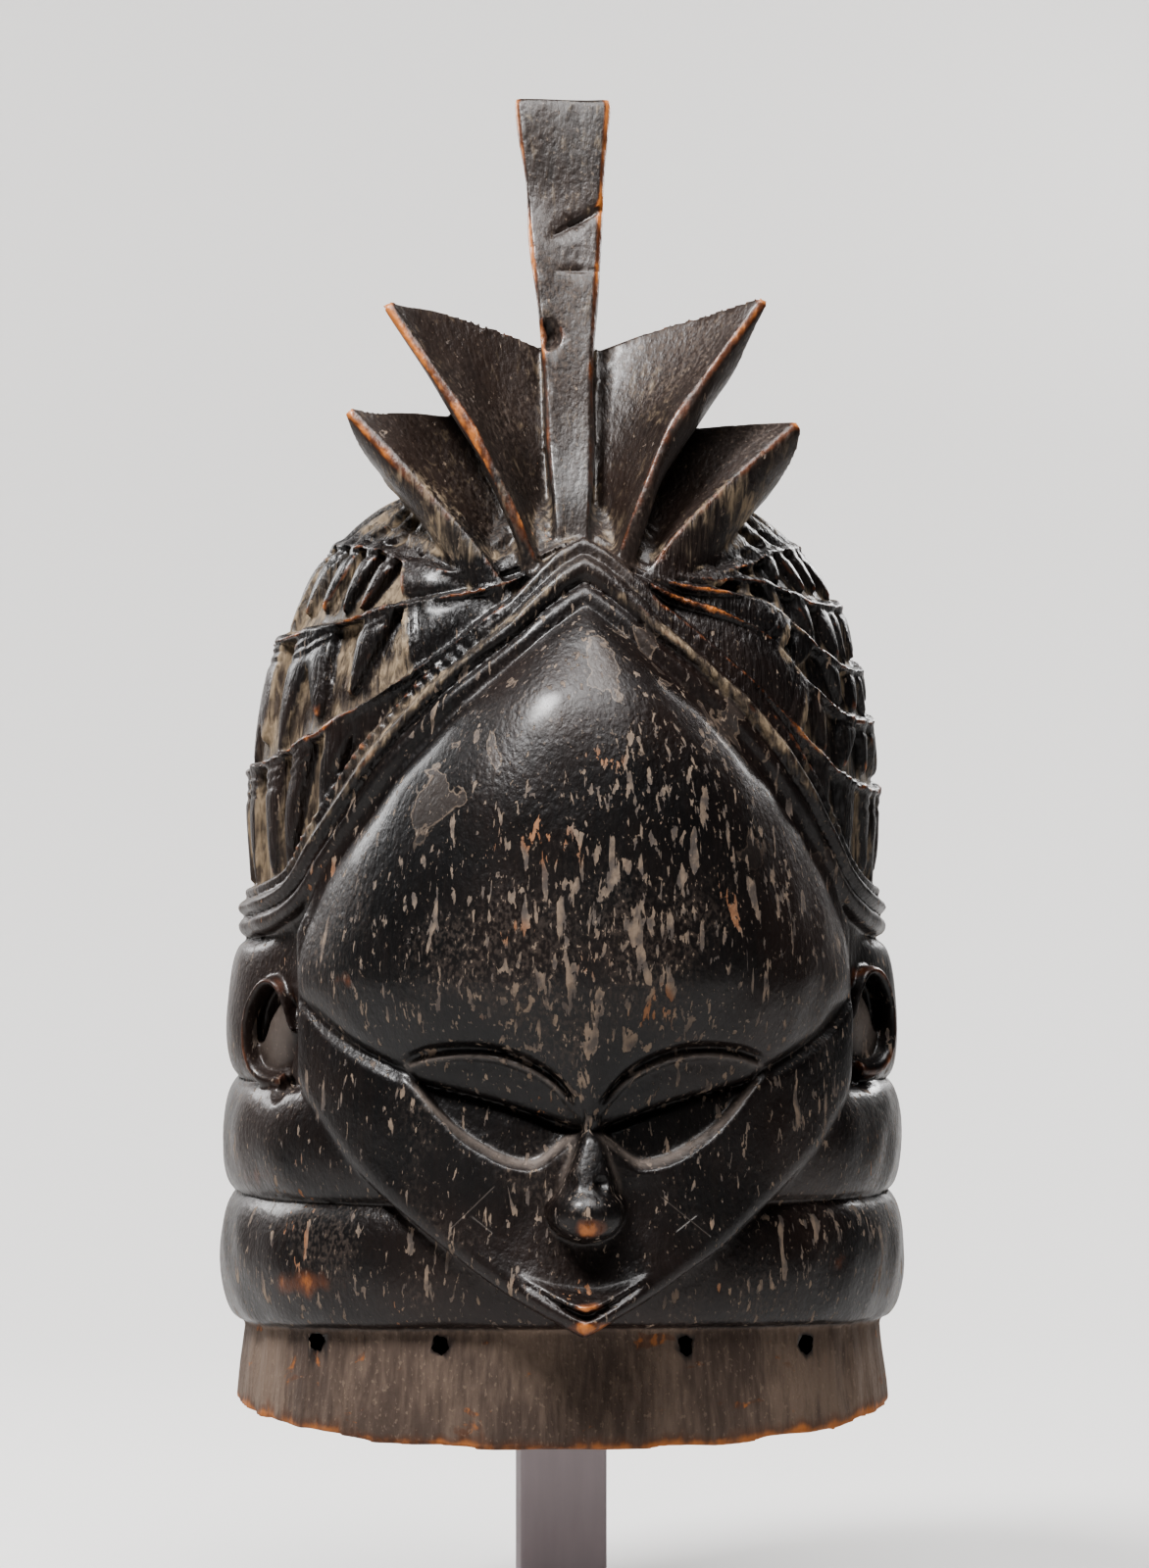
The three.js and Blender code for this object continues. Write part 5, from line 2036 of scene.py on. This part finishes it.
        # Upright flakes, large and small, down to the bare wood
        ragged = g.noise(self.ragged)
        patchy = g.noise(self.patchy)
        density = flaky * 0.097 + patchy * 0.10 - crest * 0.06 - hair * 0.03
        flakes = g.step(ragged + density, 0.700, 0.715)
        small = g.noise(self.small)
        chips = g.step(small + density * 0.85, 0.690, 0.705)
        bare = g.maths("MAXIMUM", flakes, chips) * body
        inner = g.noise(self.inner)
        flaked = g.mixed(g.step(inner, 0.36, 0.64), self.flaked_grey, self.flaked_beige)
        ochred = g.step(g.noise(self.ochred), 0.62, 0.72)
        flaked = g.mixed(ochred * 0.5, flaked, self.worn_ochre)
        colour = g.mixed(bare * (0.55 + 0.4 * inner), colour, flaked)
        dots = g.step(specks, 0.665, 0.70) * body * (0.3 + flaky * 0.5)
        colour = g.mixed(dots, colour, self.flaked_beige)
        # Pale film, and painted highlight on the lids' rims, the brows' rims, the bridge's edges and the
        # ears' tongues
        colour = g.mixed(film_and_highlight * (0.6 + 0.4 * inner), colour, self.film_and_highlight)

        # Edges and patches rubbed brown, and ochre where they are rubbed most
        rub = g.noise(self.rub)
        exposed = edge * (0.2 + crest * 0.42 + hair * 0.5) + rubbed * 0.85
        brown_worn = g.step(exposed + (rub - 0.5) * 1.0, 0.30, 0.62)
        ochre_worn = g.step(exposed + (rub - 0.5) * 1.7, 0.60, 1.0)
        colour = g.mixed(brown_worn * 0.85, colour, self.worn_brown)
        colour = g.mixed(ochre_worn * 0.85, colour, self.worn_ochre)

        # Pale dust, settled in the hollows of the hair and the crest
        dusting = g.noise(self.dusting)
        fibres = g.noise(self.fibres)
        settled = crevice * 0.5 + ground * 0.74 + crest * 0.14 - hair * 0.02
        settled = settled + (dusting - 0.5) * 1.5 + (fibres - 0.5) * (2.0 - hair * 0.7)
        dusty = g.step(settled, 0.28, 1.05)
        dust_share = dusty * (0.05 + hair * 0.76 + crest * 0.40)
        dust = g.mixed(g.step(dusting + (fibres - 0.5) * 0.9, 0.40, 0.70), self.dust_dark, self.dust)
        colour = g.mixed((dust_share * body).clamped(), colour, dust)

        colour = g.mixed(collar, colour, self.collar_wood(g, rim, inner, specks, rub))
        scratch = self.scratched(g, x, z, front)
        colour = g.mixed(scratch * 0.4, colour, self.film_and_highlight)

        # The sheen, and the fine relief under it
        polish = g.noise(self.polish)
        rough = 0.27 + polish * 0.2 + pores * 0.16 + abraded * calm * 0.2
        rough = rough + bare * 0.3 + dusty * hair * 0.35 + collar * 0.34 + film_and_highlight * 0.1
        lumps = g.noise(self.lumps)
        height = (pores - 0.5) * 0.45 + (specks - 0.5) * 0.3 + (lumps - 0.5) * 0.3
        height = height + (grain - 0.5) * (0.2 + crest * 0.35 + collar * 0.5)
        height = height - bare * 0.35 - scratch * 1.0
        height = height + hair * ((dusting - 0.5) * 0.9 + (fibres - 0.5) * 1.6)
        normal = g.bumped(height, 0.0007, 0.9)
        return g.finish(
            Base_Color=colour,
            Roughness=rough.clamped(),
            IOR=1.45,
            Coat_Weight=(body * (1.0 - dust_share) * (1.0 - bare) * 0.22).clamped(),
            Coat_Roughness=0.2,
            Normal=normal,
        )


@dataclass(frozen=True)
class StandPaint:
    """The matte paint on the display post and its foot."""

    name: str
    colour: Colour
    shade: Colour
    roughness: float
    clouds: Noise = Noise(25.0, 3.0)
    brush_marks: Noise = Noise(240.0, 3.0, 1.0, 0.12)

    def make(self) -> bpy.types.Material:
        """Make the material."""
        g = Graph(self.name)
        cloudy = g.noise(self.clouds)
        brushed = g.noise(self.brush_marks)
        colour = g.mixed((cloudy * 0.7 + brushed * 0.5 - 0.1).clamped(), self.shade, self.colour)
        normal = g.bumped(brushed, 0.0003, 0.25)
        return g.finish(Base_Color=colour, Roughness=self.roughness + brushed * 0.1, Normal=normal)


# The studio


@dataclass(frozen=True)
class Lamp:
    """A soft square light that looks at the mask."""

    name: str
    spot: Spot
    size: float
    power: float
    colour: Colour = (1.0, 1.0, 1.0)

    def build(self, aim: Vector) -> None:
        """Make the light and turn it to the aim."""
        light = bpy.data.lights.new(self.name, "AREA")
        light.size = self.size
        light.energy = self.power
        light.color = self.colour
        holder = bpy.data.objects.new(self.name, light)
        holder.location = self.spot
        holder.rotation_euler = (aim - Vector(self.spot)).to_track_quat("-Z", "Y").to_euler()
        bpy.context.scene.collection.objects.link(holder)


@dataclass(frozen=True)
class Studio:
    """A pale floor that curves up behind the mask, soft light, and the photograph's view."""

    azimuth: float = -4.0
    distance: float = 1.30
    eye_height: float = 0.271
    picture: tuple[int, int] = (1172, 1600)
    eye_pixel: Pair = (572.0, 900.0)
    metres_a_pixel: float = 0.000332
    sensor: float = 36.0
    floor_colour: Colour = (0.62, 0.61, 0.60)
    backdrop: Spot = (3.2, 0.9, 2.4)
    bend: float = 0.6
    bend_step: float = 6.0
    aim: Spot = (0.0, 0.0, 0.3)
    sky: Colour = (0.5, 0.5, 0.52)
    sky_strength: float = 0.10
    look: str = "AgX - High Contrast"
    lamps: tuple[Lamp, ...] = (
        Lamp("key", (-0.75, -0.80, 1.80), 0.42, 44.0),
        Lamp("top", (0.15, -0.70, 1.80), 0.9, 24.0),
        Lamp("side", (1.00, 1.10, 1.10), 0.6, 15.0),
        Lamp("rim", (-1.15, 0.90, 1.0), 0.6, 12.0),
    )

    def camera(self) -> Piece:
        """Make the camera at the photograph's view."""
        lens = bpy.data.cameras.new("camera")
        lens.sensor_fit = "VERTICAL"
        lens.sensor_height = self.sensor
        seen = self.picture[1] * self.metres_a_pixel
        lens.lens = self.distance * self.sensor / seen
        lens.shift_x = (self.picture[0] / 2 - self.eye_pixel[0]) / self.picture[1]
        lens.shift_y = (self.eye_pixel[1] - self.picture[1] / 2) / self.picture[1]
        lens.clip_start = 0.05
        holder = bpy.data.objects.new("camera", lens)
        turn = math.radians(self.azimuth)
        holder.location = (self.distance * math.sin(turn), -self.distance * math.cos(turn), self.eye_height)
        holder.rotation_euler = (math.radians(90.0), 0.0, turn)
        bpy.context.scene.collection.objects.link(holder)
        bpy.context.scene.camera = holder
        return holder

    def floor(self) -> Piece:
        """Extrude the backdrop's curve into a floor that rises behind."""
        width, start, height = self.backdrop
        sweep = bmesh.new()
        line = [(-width, 0.0), (start, 0.0)]
        line += [
            (start + self.bend * math.sin(turn), self.bend * (1.0 - math.cos(turn)))
            for turn in np.radians(np.arange(self.bend_step, 91.0, self.bend_step))
        ]
        line.append((start + self.bend, height))
        spots = [sweep.verts.new((-width, y, z)) for y, z in line]
        edges = [sweep.edges.new(pair) for pair in zip(spots, spots[1:])]
        grown = bmesh.ops.extrude_edge_only(sweep, edges=edges)["geom"]
        moved = [item for item in grown if isinstance(item, bmesh.types.BMVert)]
        bmesh.ops.translate(sweep, vec=(2.0 * width, 0.0, 0.0), verts=moved)
        bmesh.ops.recalc_face_normals(sweep, faces=sweep.faces[:])
        mesh = bpy.data.meshes.new("floor")
        sweep.to_mesh(mesh)
        sweep.free()
        mesh.shade_smooth()
        floor = linked("floor", mesh)
        g = Graph("pale_floor")
        floor.data.materials.append(g.finish(Base_Color=self.floor_colour, Roughness=0.85))
        return floor

    def build(self) -> None:
        """Make the camera, the floor, the lights and the sky."""
        self.camera()
        self.floor()
        for lamp in self.lamps:
            lamp.build(Vector(self.aim))
        world = bpy.data.worlds.new("studio")
        world.use_nodes = True
        background = world.node_tree.nodes["Background"]
        background.inputs[0].default_value = (*self.sky, 1.0)
        background.inputs[1].default_value = self.sky_strength
        bpy.context.scene.world = world
        bpy.context.scene.view_settings.look = self.look


@dataclass(frozen=True)
class Stand:
    """The post and foot that hold the mask up: solids of the frame, with their own paints."""

    paints: tuple[tuple[str, StandPaint], ...] = (
        ("display_post", StandPaint("post_paint", (0.50, 0.445, 0.455), (0.36, 0.315, 0.325), 0.62)),
        ("display_foot", StandPaint("foot_paint", (0.46, 0.41, 0.42), (0.33, 0.29, 0.30), 0.5)),
    )

    def build(self) -> None:
        """Paint each solid."""
        for node, paint in self.paints:
            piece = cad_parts[node]
            piece.data.materials.clear()
            piece.data.materials.append(paint.make())
            log.info("painted %s", node)


def main() -> None:
    """Build the studio, the mask and its stand."""
    logging.basicConfig(level=logging.INFO, format="%(name)s: %(message)s")
    Studio().build()
    Stand().build()
    detail = Detail.FULL
    CarvedMask(detail).build(BlackenedWood().make())


if __name__ == "__main__":
    main()
